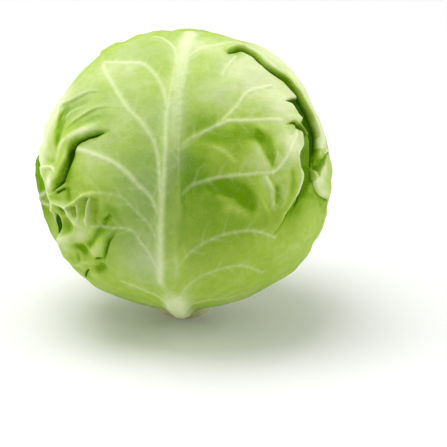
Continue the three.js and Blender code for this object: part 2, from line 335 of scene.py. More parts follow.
@dataclass(frozen=True)
class Fold(Relief):
    """A lip that stands up along one side of a line and sinks back into the blade over its spread.

    lip is its height and rise how far from the line it is up, both at the line's start and at its end. hang
    is how far its crest leans over the line, bead how much the crest swells, and fade the shares of the line
    over which the lip comes up and dies away. dark is how strong the painted shade in the groove is, and rim
    how strong the painted highlight on the crest and the painted shade on the wall below it are.
    """

    points: tuple[Pair, ...]
    side: Side
    lip: Pair
    rise: Pair
    spread: float
    hang: float = 0.0
    bead: float = 0.0
    fade: Pair = (0.2, 0.15)
    dark: float = 0.9
    rim: float = 0.25

    CREST = (0.7, 1.8)  # half its width and how far it is from the line, in rises
    LEAN = (1.2, 1.7)  # the same of what leans over the line
    WALL = (0.6, 0.9)  # and of the painted shade on the wall below the crest
    GROOVE = 0.7  # half the width of the painted shade in the groove away from the lip, in millimetres
    GROOVE_WALL = 0.5  # the same towards the lip, in rises
    SINK_FROM = 0.15  # where the lip starts to sink back, as a share of its spread
    WALL_SHADE = 0.8  # how much painted shade the wall gets for each unit of painted highlight on the crest

    @property
    def detail(self) -> float:
        """The scale of its finest detail."""
        return min(self.rise) / 2

    def formed(self, places: Places) -> Form:
        """The lip at each place.

        Args:
            places: The places on the blade.

        Returns:
            Its form there.
        """
        by = Line(self.points).beside(places, self.spread)
        rise = lerp(self.rise, by.share)
        here = by.distance / rise
        end = fading(by.share, self.fade)
        up = end * (by.side == self.side.value)
        sink = 1 - smoothstep(self.SINK_FROM * self.spread, self.spread, by.distance)
        crest = hump(here, *self.CREST)
        height = up * (lerp(self.lip, by.share) * (1 - np.exp(-(here**2))) * sink + self.bead * crest)
        lean = self.hang * up * hump(here, *self.LEAN)
        # painted shade in the groove, then a painted highlight on the crest less painted shade on the wall
        # below it
        crease = self.dark * end * hump(by.distance, np.where(up > 0, self.GROOVE_WALL * rise, self.GROOVE))
        shade = self.WALL_SHADE * (up * hump(here, *self.WALL))
        return Form(height, -by.away * lean[:, None], crease, self.rim * (up * crest - shade))


@dataclass(frozen=True)
class Puffs:
    """The blade puffs up between its veins and is drawn in along them."""

    height: float
    spread: float


@dataclass(frozen=True)
class Wave:
    """A wave along the edge of a leaf, with its number of crests and its phase."""

    count: int
    phase: float

    def height(self, bearing: Array) -> Array:
        """The share of its full height that the wave has at a bearing.

        Args:
            bearing: The bearing, in radians.

        Returns:
            The share, which is none at the root.
        """
        wave = np.sin(self.count * bearing + self.phase)
        wave = wave + 0.5 * np.sin((self.count * 1.7 + 1) * bearing + 2 * self.phase)
        return (0.5 + wave / 3) * smoothstep(0.0, 0.6, 1 + np.cos(bearing))


@dataclass(frozen=True)
class Ripples(Relief):
    """Waves that grow towards the edge, from a share of the reach on."""

    wave: Wave
    height: float
    start: float

    def formed(self, places: Places) -> Form:
        """The ripples at each place."""
        share = smoothstep(self.start, 1.0, places.reach)
        return Form(self.height * share * self.wave.height(places.bearing))


@dataclass(frozen=True)
class Swellings(Relief):
    """Slow swellings of the blade."""

    length: float
    height: float
    phase: float

    def formed(self, places: Places) -> Form:
        """The swellings at each place.

        Args:
            places: The places on the blade.

        Returns:
            Its form there.
        """
        a, b = places.across, places.along
        across = np.sin(2 * math.pi * (a + 0.35 * b) / self.length + self.phase)
        up = np.sin(2 * math.pi * (b - 0.3 * a) / (1.3 * self.length) + 2.1 * self.phase)
        return Form(self.height * (0.5 + 0.25 * (across + up)))


@dataclass(frozen=True)
class Patch(Relief):
    """A round area of a blade where its green is paler, above 0, or deeper, below 0."""

    middle: Pair
    spread: float
    amount: float

    def formed(self, places: Places) -> Form:
        """The patch at each place."""
        distance = np.hypot(places.across - self.middle[0], places.along - self.middle[1])
        return Form(tone=self.amount * hump(distance, self.spread))


@dataclass(frozen=True)
class Streak(Relief):
    """A soft line on a blade where its green is paler, above 0, or deeper, below 0."""

    points: tuple[Pair, ...]
    half: float
    amount: float

    FADE = (0.25, 0.25)

    def formed(self, places: Places) -> Form:
        """The streak at each place."""
        by = Line(self.points).beside(places, BELL_REACH * self.half)
        return Form(tone=self.amount * fading(by.share, self.FADE) * hump(by.distance, self.half))


@dataclass(frozen=True)
class Shade(Relief):
    """Painted shade, below 0, or painted light, above 0, on one side of a line, most of it at the line."""

    points: tuple[Pair, ...]
    side: Side
    spread: Pair
    amount: float
    fade: Pair = (0.25, 0.25)

    def formed(self, places: Places) -> Form:
        """The shade at each place.

        Args:
            places: The places on the blade.

        Returns:
            Its form there.
        """
        by = Line(self.points).beside(places, BELL_REACH * max(self.spread))
        here = smoothstep(-0.6, 0.6, by.distance * by.side * self.side.value)
        here = here * hump(by.distance, lerp(self.spread, by.share))
        return Form(tone=self.amount * here * fading(by.share, self.fade))


@dataclass(frozen=True)
class Area(Relief):
    """A closed area that stands out or sinks, with a soft edge; its paler or deeper green and its dark are
    mostly painted light and shade.
    """

    points: tuple[Pair, ...]
    edge: float
    tone: float = 0.0
    height: float = 0.0
    dark: float = 0.0

    @property
    def detail(self) -> float:
        """The scale of its finest detail."""
        return self.edge

    def formed(self, places: Places) -> Form:
        """The area at each place.

        Args:
            places: The places on the blade.

        Returns:
            Its form there.
        """
        ring = Line(self.points + self.points[:1])
        distance = ring.beside(places, 1.5 * self.edge).distance
        here = smoothstep(-self.edge, self.edge, np.where(ring.encloses(places), distance, -distance))
        return Form(height=self.height * here, crease=self.dark * here, tone=self.tone * here)



# ---------------------------------------------------------------- veins


@dataclass(frozen=True)
class Vein:
    """A side vein: its line, and its half width and strength from its root to its end."""

    points: tuple[Pair, ...]
    half: Pair = (1.6, 1.1)
    strength: Pair = (1.0, 0.45)

    @property
    def detail(self) -> float:
        """The scale of its finest detail."""
        return min(self.half)


@dataclass
class Venation:
    """The midrib of a leaf, its side veins and the twigs that branch from them.

    A twig leaves its vein at twig_angle, give or take angle_play, and each next piece of it turns back by a
    share of that angle. Its length and the step to the next twig are multiplied by a share, too.
    """

    midrib: tuple[Pair, ...]
    midrib_half: Pair
    veins: tuple[Vein, ...]
    seed: int
    midrib_strength: Pair = (1.0, 0.9)
    twig_step: float = 11.0
    first_twig: float = 0.7  # steps from a vein's root
    twig_length: Pair = (24.0, 9.0)  # at a vein's root and at its end
    twig_angle: float = 52.0
    angle_play: float = 12.0
    length_play: Pair = (0.7, 1.15)
    step_play: Pair = (0.4, 0.75)
    turn_back: Pair = (0.05, 0.28)
    twig_pieces: int = 3

    def twigs(self) -> list[Line]:
        """Draws short branches on both sides of every side vein, shorter towards its end.

        Returns:
            The twigs.
        """
        rng = np.random.default_rng(self.seed)
        lines = []
        for vein in self.veins:
            line = Line(vein.points)
            steps = np.linalg.norm(np.diff(line.track, axis=0), axis=1)
            run = np.concatenate([[0.0], np.cumsum(steps)])
            place = self.twig_step * self.first_twig
            side = 1.0
            while place < run[-1]:
                i = min(int(np.searchsorted(run, place)), len(line.track) - 1)
                heading = line.track[i] - line.track[i - 1]
                turn = math.radians(self.twig_angle + rng.uniform(-self.angle_play, self.angle_play)) * side
                length = lerp(self.twig_length, place / run[-1]) * rng.uniform(*self.length_play)
                points = [line.track[i]]
                angle = math.atan2(heading[1], heading[0]) + turn
                for _ in range(self.twig_pieces):
                    step = np.array([math.cos(angle), math.sin(angle)]) * length / self.twig_pieces
                    points.append(points[-1] + step)
                    angle -= turn * rng.uniform(*self.turn_back)
                lines.append(Line([tuple(p) for p in points]))
                side = -side
                place += self.twig_step * rng.uniform(*self.step_play)
        return lines


PAIR_COURSE = ((0.2, 0.08), (0.42, 0.22), (0.62, 0.4), (0.8, 0.6))  # across and along, in runs of the vein
PAIR_FORK = ((0.2, 0.04), (0.4, 0.1))  # the same from where its fork leaves it
PAIR_SHIFT = 0.25  # how far a vein leaves the midrib from the middle of its pair, in steps
PAIR_LOSS = 0.45  # how much shorter the runs get towards the top, as a share of the lowest
PAIR_PLAY = 5.0  # at a vein's end, in millimetres


def paired_veins(count: int, first: float, step: float, length: float, seed: int) -> tuple[Vein, ...]:
    """The side veins of a plain leaf: pairs that leave the midrib one above the other and bend to the tip.

    Args:
        count: The number of pairs.
        first: Where the lowest pair leaves the midrib.
        step: From one pair to the next.
        length: The length of the lowest veins.
        seed: Of the small differences between veins.

    Returns:
        The veins.
    """
    rng = np.random.default_rng(seed)
    veins = []
    for i in range(count):
        root = first + i * step
        run = length * (1 - PAIR_LOSS * (i / count))
        for side in (-1, 1):
            start = root + side * PAIR_SHIFT * step
            tip = rng.uniform(-PAIR_PLAY, PAIR_PLAY)
            wander = (rng.uniform(-1, 1), rng.uniform(-2, 2), 0.5 * tip, tip)
            course = tuple(
                (side * across * run, start + along * run + off)
                for (across, along), off in zip(PAIR_COURSE, wander)
            )
            veins.append(Vein(((0.0, start), *course)))
            fork = course[1]
            branch = tuple(
                (fork[0] + side * across * run, fork[1] + along * run + off)
                for (across, along), off in zip(PAIR_FORK, (rng.uniform(-2, 2), tip))
            )
            veins.append(Vein((fork, *branch), half=(1.3, 1.0), strength=(0.7, 0.3)))
    return tuple(veins)


# ---------------------------------------------------------------- shader expressions


class Socket:
    """A node's output value, on which Python's operators add Math nodes."""

    def __init__(self, nodes: "NodeMaker", output: bpy.types.NodeSocket) -> None:
        """Wraps an output of one of the maker's nodes."""
        self.nodes = nodes
        self.output = output

    def _maths(self, operation: str, *values: "Value") -> "Socket":
        """Adds a Math node."""
        return self.nodes.make("ShaderNodeMath", {"operation": operation}, dict(enumerate(values)))

    def __add__(self, other: "Value") -> "Socket":
        """Adds."""
        return self._maths("ADD", self, other)

    __radd__ = __add__

    def __mul__(self, other: "Value") -> "Socket":
        """Multiplies."""
        return self._maths("MULTIPLY", self, other)

    __rmul__ = __mul__

    def __sub__(self, other: "Value") -> "Socket":
        """Subtracts."""
        return self._maths("SUBTRACT", self, other)

    def __rsub__(self, other: "Value") -> "Socket":
        """Subtracts from a number."""
        return self._maths("SUBTRACT", other, self)

    def __truediv__(self, other: "Value") -> "Socket":
        """Divides."""
        return self._maths("DIVIDE", self, other)

    def root(self) -> "Socket":
        """The square root."""
        return self._maths("SQRT", self)

    def clipped(self) -> "Socket":
        """The value held between 0 and 1."""
        return self._maths("MINIMUM", self._maths("MAXIMUM", self, 0.0), 1.0)

    def eased(self, start: float, end: float) -> "Socket":
        """Eases from 0 where the value is start to 1 where it is end."""
        values = {"Value": self, "From Min": start, "From Max": end}
        return self.nodes.make("ShaderNodeMapRange", {"interpolation_type": "SMOOTHSTEP"}, values)


Value = Union[Socket, float, Colour]


class NodeMaker:
    """Makes the nodes of one material."""

    def __init__(self, name: str) -> None:
        """Starts an empty material.

        Args:
            name: The material's name.
        """
        self.material = bpy.data.materials.new(name)
        self.material.use_nodes = True
        self.tree = self.material.node_tree
        self.shader = self.tree.nodes["Principled BSDF"]

    def make(
        self, kind: str, settings: dict[str, Any], values: dict[Union[int, str], Value],
        output: Union[int, str] = 0,
    ) -> Socket:
        """Adds a node.

        Args:
            kind: The node's type.
            settings: Its settings, which are set first. ramp is a list of (place, colour) stops.
            values: A value or link for each socket, by name or number.
            output: The output that is returned.

        Returns:
            The output.
        """
        node = self.tree.nodes.new(kind)
        for setting, value in settings.items():
            if setting == "ramp":
                stops = node.color_ramp.elements
                while len(stops) < len(value):
                    stops.new(1.0)
                for stop, (place, paint) in zip(stops, value):
                    stop.position, stop.color = place, (*paint, 1.0)
            else:
                setattr(node, setting, value)
        for socket, value in values.items():
            self.feed(node.inputs[socket], value)
        return Socket(self, node.outputs[output])

    def feed(self, socket: bpy.types.NodeSocket, value: Value) -> None:
        """Sets a socket to a value or links it.

        Args:
            socket: The input.
            value: The value or the output that feeds it.
        """
        if isinstance(value, Socket):
            self.tree.links.new(value.output, socket)
        elif isinstance(value, tuple) and len(value) == 3 and socket.type == "RGBA":
            socket.default_value = (*value, 1.0)
        else:
            socket.default_value = value

    def finish(self, **values: Value) -> bpy.types.Material:
        """Feeds the shader's sockets, with _ for a space in their names.

        Args:
            **values: A value or link for each socket.

        Returns:
            The finished material.
        """
        for name, value in values.items():
            self.feed(self.shader.inputs[name.replace("_", " ")], value)
        return self.material

    def attribute(self, name: str) -> Socket:
        """A value that is kept in the mesh."""
        return self.make("ShaderNodeAttribute", {"attribute_name": name}, {}, "Fac")

    def mix(self, share: Value, first: Value, second: Value) -> Socket:
        """Mixes two colours."""
        settings = {"data_type": "RGBA", "blend_type": "MIX", "clamp_factor": True}
        return self.make("ShaderNodeMix", settings, {0: share, 6: first, 7: second}, 2)

    def noise(self, place: Socket, scale: float, detail: float, rough: float = 0.5) -> Socket:
        """Noise from 0 to 1, with scale features to a unit of the place."""
        values = {"Vector": place, "Scale": scale, "Detail": detail, "Roughness": rough}
        return self.make("ShaderNodeTexNoise", {"noise_dimensions": "3D"}, values)

    def bump(self, height: Value, strength: float, depth: float) -> Socket:
        """A normal that is bent by a height from 0 to 1, which stands for depth metres."""
        return self.make("ShaderNodeBump", {}, {"Strength": strength, "Distance": depth, "Height": height})


def linear(level: int) -> float:
    """One channel of a colour in linear light, from its screen value of 0 to 255."""
    share = level / 255
    return share / 12.92 if share <= 0.04045 else ((share + 0.055) / 1.055) ** 2.4


def colour(red: int, green: int, blue: int) -> Colour:
    """A colour in linear light, from its screen values of 0 to 255."""
    return linear(red), linear(green), linear(blue)


# ---------------------------------------------------------------- finishes


@dataclass(frozen=True)
class LeafFinish:
    """The skin of a leaf: green blade, pale ribs, a waxy bloom, and painted light and shade in its green.

    Scales are in features to a unit of the UV map. A share is how far a feature changes the colour under it.
    """

    name: str
    # the ramp of the leaf's green, from deep through blade to pale; the leaf's marks move along it for its
    # own variation and for painted light and shade
    deep: Colour = colour(106, 148, 0)
    blade: Colour = colour(162, 192, 66)
    pale: Colour = colour(218, 230, 172)
    rib: Colour = colour(232, 240, 194)
    # painted shade, deep in the grooves
    crease: Colour = colour(46, 86, 0)
    bloom: Colour = colour(172, 192, 138)
    cloud_scale: float = 14.0
    cloud_share: float = 0.35
    mottle_scale: float = 60.0
    mottle_share: float = 0.34
    # how much the painted shade of the grooves deepens the green
    crease_shade_share: float = 0.8
    warp_scale: float = 40.0
    warp: float = 0.022  # how far the finest veins are bent, in units of the UV map
    net_scale: float = 62.0
    net_line: float = 0.11
    net_share: float = 0.035
    fine_net_scale: float = 190.0
    fine_net_line: float = 0.13
    fine_net_share: float = 0.04
    twig_share: float = 0.2
    vein_share: float = 0.85
    margin_share: float = 0.75
    grain_scale: float = 900.0
    bump_depth: float = 0.0006
    bump_strength: float = 0.35
    roughness: float = 0.42
    wax: float = 0.5
    wax_ior: float = 1.33
    glow: float = 0.22  # of light under the skin
    glow_reach: Point = (0.003, 0.005, 0.001)

    UV_SPAN = 400.0  # millimetres of blade to one unit of the UV map

    def material(self) -> bpy.types.Material:
        """Makes the finish as a material that reads the leaf's own attributes and UV map.

        Returns:
            The material.
        """
        make = NodeMaker(self.name)
        flat = make.make("ShaderNodeUVMap", {"uv_map": "blade"}, {})
        vein, twig, tone, bloom, crease, margin = (
            make.attribute(name) for name in ("vein", "twig", "tone", "bloom", "crease", "margin"))
        cloud = make.noise(flat, self.cloud_scale, 3.0, 0.55)
        mottle = make.noise(flat, self.mottle_scale, 3.0, 0.6)
        wobble = make.make(
            "ShaderNodeTexNoise", {}, {"Vector": flat, "Scale": self.warp_scale, "Detail": 1.0}, "Color")
        bent = make.make(
            "ShaderNodeVectorMath", {"operation": "MULTIPLY_ADD"},
            {0: wobble, 1: (self.warp, self.warp, 0.0), 2: flat})
        net = self._net(make, bent, self.net_scale, self.net_line)
        fine_net = self._net(make, bent, self.fine_net_scale, self.fine_net_line)

        mottling = (cloud - 0.5) * self.cloud_share + (mottle - 0.5) * self.mottle_share
        # the place on the ramp: the leaf's own variation and painted light and shade, less the painted shade
        # of the grooves
        lift = (tone + mottling - crease * self.crease_shade_share).clipped()
        ramp = [(0.0, self.deep), (0.5, self.blade), (1.0, self.pale)]
        skin = make.make("ShaderNodeValToRGB", {"ramp": ramp}, {"Fac": lift})
        for share, layer in (
            ((bloom * (0.55 + 0.6 * mottle) - crease).clipped(), self.bloom),
            (self.net_share * net * (1 - vein), self.pale),
            (self.fine_net_share * fine_net, self.pale),
            (twig.eased(0.1, 0.95) * self.twig_share, self.pale),
            ((vein * self.vein_share).clipped(), self.rib),
            ((margin * self.margin_share).clipped(), self.rib),
            # painted shade deep in the grooves
            (crease.eased(0.15, 0.95), self.crease),
        ):
            skin = make.mix(share, skin, layer)

        grain = make.noise(flat, self.grain_scale, 2.0, 0.6)
        height = 0.4 * fine_net + 0.5 * net + 0.2 * grain + 1.2 * mottle
        bump = make.bump(height, self.bump_strength, self.bump_depth)
        wax = self.wax * lift.eased(0.05, 0.55) * (1 - crease).clipped()
        rough = self.roughness + 0.12 * (mottle - 0.5) + 0.1 * bloom
        return make.finish(
            Base_Color=skin, Roughness=rough, Normal=bump, Specular_IOR_Level=0.0,
            Coat_Weight=wax, Coat_Roughness=self.roughness, Coat_IOR=self.wax_ior,
            Subsurface_Weight=self.glow, Subsurface_Radius=self.glow_reach, Subsurface_Scale=0.5,
        )

    @staticmethod
    def _net(make: NodeMaker, place: Socket, scale: float, line: float) -> Socket:
        """Lays a net of the finest veins over the blade.

        Args:
            make: The maker of the material's nodes.
            place: The blade laid out flat.
            scale: Meshes of the net to a unit of the place.
            line: How wide its lines are, as a share of a mesh.

        Returns:
            1 on the lines, and 0 away from them.
        """
        edge = {"feature": "DISTANCE_TO_EDGE", "voronoi_dimensions": "2D"}
        cells = make.make("ShaderNodeTexVoronoi", edge, {"Vector": place, "Scale": scale}, "Distance")
        return 1 - cells.eased(0.0, line)


@dataclass(frozen=True)
class StemFinish:
    """The pale flesh of the stem with its woody ring and drying cut.

    The ring comes up and dies away between two pairs of shares of the stem's radius.
    """

    name: str = "stem_flesh"
    flesh: Colour = colour(232, 232, 200)
    wood: Colour = colour(206, 208, 160)
    dried: Colour = colour(196, 170, 118)
    skin: Colour = colour(196, 212, 150)
    cloud_scale: float = 160.0
    fibre_scale: float = 900.0
    ring_inside: Pair = (0.62, 0.72)
    ring_outside: Pair = (0.8, 0.88)
    wobble: float = 0.08  # of the ring, as a share of the radius
    grain_shares: Pair = (0.5, 0.9)  # of the ring's wood, everywhere and where the fibres are
    dried_from: Pair = (0.86, 1.0)  # shares of the radius
    dried_share: float = 0.8  # at the rim of the cut
    stain_from: Pair = (0.5, 0.8)  # where the clouds are dried too
    stain_share: float = 0.5
    skin_from: Pair = (0.0005, 0.004)  # metres above the cut
    bump_depth: float = 0.0006
    bump_strength: float = 0.5
    glow: float = 0.15  # of light under the skin
    glow_reach: Point = (0.004, 0.004, 0.002)

    def material(self) -> bpy.types.Material:
        """Makes the finish as a material on Object coordinates.

        Returns:
            The material.
        """
        make = NodeMaker(self.name)
        place = make.make("ShaderNodeTexCoord", {}, {}, "Object")
        x, y, z = (make.make("ShaderNodeSeparateXYZ", {}, {0: place}, axis) for axis in "XYZ")
        cloud = make.noise(place, self.cloud_scale, 3.0, 0.6)
        fibre = make.noise(place, self.fibre_scale, 3.0, 0.6)
        radius = (x * x + y * y).root() / (STEM_RADIUS * MM) + (cloud - 0.5) * self.wobble
        ring = radius.eased(*self.ring_inside) * (1 - radius.eased(*self.ring_outside))
        plain, grained = self.grain_shares
        face = make.mix((ring * (plain + grained * fibre)).clipped(), self.flesh, self.wood)
        face = make.mix(radius.eased(*self.dried_from) * self.dried_share, face, self.dried)
        face = make.mix((cloud.eased(*self.stain_from) * self.stain_share).clipped(), face, self.dried)
        skin = make.mix(z.eased(*self.skin_from), face, self.skin)
        bump = make.bump(fibre + 0.8 * cloud + 0.7 * ring, self.bump_strength, self.bump_depth)
        return make.finish(
            Base_Color=skin, Roughness=0.55 + 0.2 * cloud, Normal=bump,
            Subsurface_Weight=self.glow, Subsurface_Radius=self.glow_reach, Subsurface_Scale=0.5,
        )


@dataclass(frozen=True)
class HeartFinish:
    """The skin of the dense inner leaves, in two pale greens that run into each other."""

    name: str = "heart_leaf"
    deep: Colour = colour(206, 218, 150)
    pale: Colour = colour(232, 234, 196)
    cloud_scale: float = 60.0
    roughness: float = 0.45
    bump_depth: float = 0.001
    bump_strength: float = 0.3

    def material(self) -> bpy.types.Material:
        """Makes the finish as a material on Object coordinates.

        Returns:
            The material.
        """
        make = NodeMaker(self.name)
        cloud = make.noise(make.make("ShaderNodeTexCoord", {}, {}, "Object"), self.cloud_scale, 3.0)
        bump = make.bump(cloud, self.bump_strength, self.bump_depth)
        skin = make.mix(cloud, self.deep, self.pale)
        return make.finish(Base_Color=skin, Roughness=self.roughness + 0.1 * cloud, Normal=bump)


# ---------------------------------------------------------------- the globe


def layer_radius(direction: Array, layer: int) -> Array:
    """Distance from the globe's centre to a leaf layer in each direction.

    Args:
        direction: Unit vectors.
        layer: 0 for the outermost.

    Returns:
        The distances.
    """
    z = direction[:, 2]
    taper = BASE_TAPER * smoothstep(0.4, 1.0, -z)
    stem_room = LAYER_STEP_AT_STEM * smoothstep(0.72, 0.96, -z)
    return HEAD_RADIUS - taper - layer * (LAYER_STEP + stem_room)


@dataclass
class Shaped:
    """What shapes and marks a leaf at each place.

    height and shift say how far it stands out and is drawn sideways. vein, twig and crease go from 0 to 1,
    crease being painted shade in grooves, and tone from deep to pale green, its own green with painted light
    and shade.
    """

    height: Array
    shift: Array
    vein: Array
    twig: Array
    crease: Array
    tone: Array


@dataclass
class Leaf:
    """A thin curved blade that wraps the head.

    azimuth and elevation are those of its middle. reach gives the angle from the middle to the edge, every 20
    degrees clockwise from the tip, and scallop how much the waves of the edge add to it. finer lists how the
    mesh is halved in turn: the scale of the lines round which it is, and how near to them. freed gives the
    angles beyond the edge of the leaf outside it from which it starts to stand out and from which it is free.
    """

    name: str
    azimuth: float
    elevation: float
    layer: int
    cells: tuple[int, int]
    reach: tuple[float, ...]
    venation: Venation
    scallop: float = 0.0
    edge: Wave = Wave(0, 0.0)
    puffs: Puffs = Puffs(1.5, 9.0)
    relief: tuple[Relief, ...] = ()
    blooms: tuple[Relief, ...] = ()
    # its own green, from deep at 0 to pale at 1, before the relief adds painted light and shade to it
    tone: float = 0.5
    finer: tuple[Pair, ...] = ()
    slot: str = "wrapper_leaf"
    freed: Pair = (1.5, 8.0)
    twig_half: Pair = (1.25, 1.0)
    twig_strength: Pair = (0.8, 0.3)
    vein_height: float = 0.9
    twig_height: float = 0.25
    margin_width: float = 1.6
    smooth_below: float = 50.0  # the angle between faces from which an edge stays sharp
    out: Array = field(init=False, repr=False)
    tip: Array = field(init=False, repr=False)
    right: Array = field(init=False, repr=False)

    MIDRIB_REACH = 60.0  # how far from the midrib its height is worked out
    TWIG_REACH = 6.0
    PUFF_REACH = 3.5  # spreads of the puffs beyond which a vein draws nothing in
    TWIG_LIFT = 4.0  # how much less a twig draws the blade in than a vein, as a distance

    def __post_init__(self) -> None:
        """Turns the leaf's axes to its place on the globe."""
        turn, rise = math.radians(self.azimuth), math.radians(self.elevation)
        cos_rise, sin_rise = math.cos(rise), math.sin(rise)
        self.out = np.array([math.sin(turn) * cos_rise, -math.cos(turn) * cos_rise, sin_rise])
        self.tip = np.array([-math.sin(turn) * sin_rise, math.cos(turn) * sin_rise, cos_rise])
        self.right = np.array([math.cos(turn), math.sin(turn), 0.0])

    def outline(self, bearing: Array) -> Array:
        """The angle from the middle of the leaf to its edge at each bearing, in radians.

        Args:
            bearing: The bearings, in radians.

        Returns:
            The angles.
        """
        reach = np.array(self.reach)
        count = len(reach)
        place = (bearing / (2 * math.pi)) % 1.0 * count
        first = np.floor(place).astype(int)
        t = place - first

        def at(step: int) -> Array:
            """The reach some steps on."""
            return reach[(first + step) % count]

        slope, next_slope = (at(1) - at(-1)) / 2, (at(2) - at(0)) / 2
        cubic = 2 * (at(0) - at(1)) + slope + next_slope
        square = 3 * (at(1) - at(0)) - 2 * slope - next_slope
        edge = np.radians(at(0) + t * (slope + t * (square + t * cubic)))
        edge = edge + math.radians(self.scallop) * self.edge.height(bearing)
        return self._trimmed(edge, bearing)

    def _trimmed(self, edge: Array, bearing: Array) -> Array:
        """Cuts the outline back where the root fits round the stem.

        Args:
            edge: The angle from the middle to the edge.
            bearing: The bearing of each.

        Returns:
            The angles, cut back.
        """
        pole = math.radians(90 + self.elevation)
        layer = float(layer_radius(np.array([[0.0, 0.0, -1.0]]), self.layer)[0]) - BLADE_THICKNESS
        stem = math.asin((STEM_RADIUS + STEM_GAP) / layer)
        sideways = math.sin(pole) * np.abs(math.pi - np.abs(bearing))
        root = pole - np.sqrt(np.maximum(stem**2 - sideways**2, 0.0))
        return np.where(sideways < stem, np.minimum(edge, root), edge)

    def wrapped(self, across: Array, along: Array) -> Array:
        """The directions from the globe's centre to places on the blade.

        Args:
            across: Arc lengths across the blade.
            along: Arc lengths along it.

        Returns:
            Unit vectors.
        """
        arc = np.hypot(across, along)[:, None] / HEAD_RADIUS
        bearing = np.arctan2(across, along)[:, None]
        sideways = np.sin(arc) * (np.sin(bearing) * self.right + np.cos(bearing) * self.tip)
        return np.cos(arc) * self.out + sideways

    def beyond(self, direction: Array) -> Array:
        """How far each direction lies outside the leaf's outline, in radians."""
        arc = np.arccos(np.clip(direction @ self.out, -1.0, 1.0))
        return arc - self.outline(np.arctan2(direction @ self.right, direction @ self.tip))

    def build(self, outer: Sequence["Leaf"], finish: LeafFinish) -> bpy.types.Object:
        """Models the leaf and dresses it.

        Args:
            outer: The leaves that lie over it.
            finish: Its skin.

        Returns:
            The leaf.
        """
        bpy.ops.object.select_all(action="DESELECT")
        bpy.ops.mesh.primitive_grid_add(x_subdivisions=self.cells[0], y_subdivisions=self.cells[1], size=2)
        blade = bpy.context.object
        blade.name = blade.data.name = self.name + "_blade"
        mesh = blade.data
        for detail, nearness in self.finer:
            self._refine(mesh, detail, nearness)
        places = self._laid(mesh)

        free = self._freedom(self.wrapped(places.across, places.along), outer)
        shaped = self._shape(places)
        shift = shaped.shift * free[:, None]
        direction = self.wrapped(places.across + shift[:, 0], places.along + shift[:, 1])
        radius = layer_radius(direction, self.layer) + shaped.height * free
        points = direction * radius[:, None] + np.array([0.0, 0.0, CENTRE_HEIGHT])
        mesh.vertices.foreach_set("co", (points * MM).ravel())
        self._mark(mesh, places, shaped)
        mesh.update()

        wall = blade.modifiers.new("wall", "SOLIDIFY")
        wall.thickness = BLADE_THICKNESS * MM
        wall.offset = -1.0
        bpy.ops.object.modifier_apply(modifier=wall.name)
        bpy.ops.object.shade_smooth_by_angle(angle=math.radians(self.smooth_below))
        mesh.materials.append(finish.material())
        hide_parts(self.name)
        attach(blade, "root")
        return blade

    def _laid(self, mesh: bpy.types.Mesh) -> Places:
        """Draws the square net of the mesh out to the leaf's outline.

        Args:
            mesh: The flat net, 2 units wide.

        Returns:
            Where the net's points lie on the blade.
        """
        net = np.empty(len(mesh.vertices) * 3)
        mesh.vertices.foreach_get("co", net)
        u, v = net.reshape(-1, 3)[:, 0], net.reshape(-1, 3)[:, 1]
        x, y = u * np.sqrt(1 - v * v / 2), v * np.sqrt(1 - u * u / 2)
        arc = HEAD_RADIUS * self.outline(np.arctan2(x, y))
        return Places(arc * x, arc * y, np.hypot(x, y))

    def _refine(self, mesh: bpy.types.Mesh, detail: float, nearness: float) -> None:
        """Halves the faces of the flat net that lie near a fine line of its relief.

        Args:
            mesh: The flat net.
            detail: The scale below which a line is fine, in millimetres.
            nearness: How near, in millimetres.
        """
        places = self._laid(mesh)
        near = np.zeros(len(places.across), bool)
        for sharp in (*self.relief, *self.venation.veins):
            if sharp.detail < detail:
                near |= Line(sharp.points).beside(places, nearness + 1.0).distance < nearness
        bpy.ops.object.mode_set(mode="EDIT")
        bpy.ops.mesh.select_mode(type="FACE")
        bpy.ops.mesh.select_all(action="DESELECT")
        bpy.ops.object.mode_set(mode="OBJECT")
        for face in mesh.polygons:
            face.select = any(near[i] for i in face.vertices)
        bpy.ops.object.mode_set(mode="EDIT")
        bpy.ops.mesh.subdivide(number_cuts=1)
        bpy.ops.object.mode_set(mode="OBJECT")

    def _freedom(self, direction: Array, outer: Sequence["Leaf"]) -> Array:
        """How free the leaf is to stand out.

        Args:
            direction: Directions from the globe's centre to the leaf.
            outer: The leaves that lie over it.

        Returns:
            0 under the leaves outside it, up to 1 beyond their edges.
        """
        hugged, loose = math.radians(self.freed[0]), math.radians(self.freed[1])
        shares = [smoothstep(hugged, loose, leaf.beyond(direction)) for leaf in outer]
        return np.min([np.ones(len(direction)), *shares], axis=0)

    def _shape(self, places: Places) -> Shaped:
        """Works out what the veins, the puffs between them and the relief come to.

        Args:
            places: The places on the blade.

        Returns:
            The height, the shift and the marks at each place.
        """
        count = len(places.across)
        midrib = Line(self.venation.midrib).beside(places, self.MIDRIB_REACH)
        nearest = midrib.distance.copy()
        vein = self._rib(midrib, self.venation.midrib_half, self.venation.midrib_strength)
        height = np.zeros(count)
        for side_vein in self.venation.veins:
            by = Line(side_vein.points).beside(places, self.PUFF_REACH * self.puffs.spread)
            nearest = np.minimum(nearest, by.distance)
            rib = self._rib(by, side_vein.half, side_vein.strength)
            vein = np.maximum(vein, rib)
            height = np.maximum(height, self.vein_height * rib)
        twig = np.zeros(count)
        for branch in self.venation.twigs():
            by = branch.beside(places, self.TWIG_REACH)
            twig = np.maximum(twig, self._rib(by, self.twig_half, self.twig_strength))
            nearest = np.minimum(nearest, by.distance + self.TWIG_LIFT)
        height = height + self.twig_height * twig
        height = height + self.puffs.height * (1 - hump(nearest, self.puffs.spread))
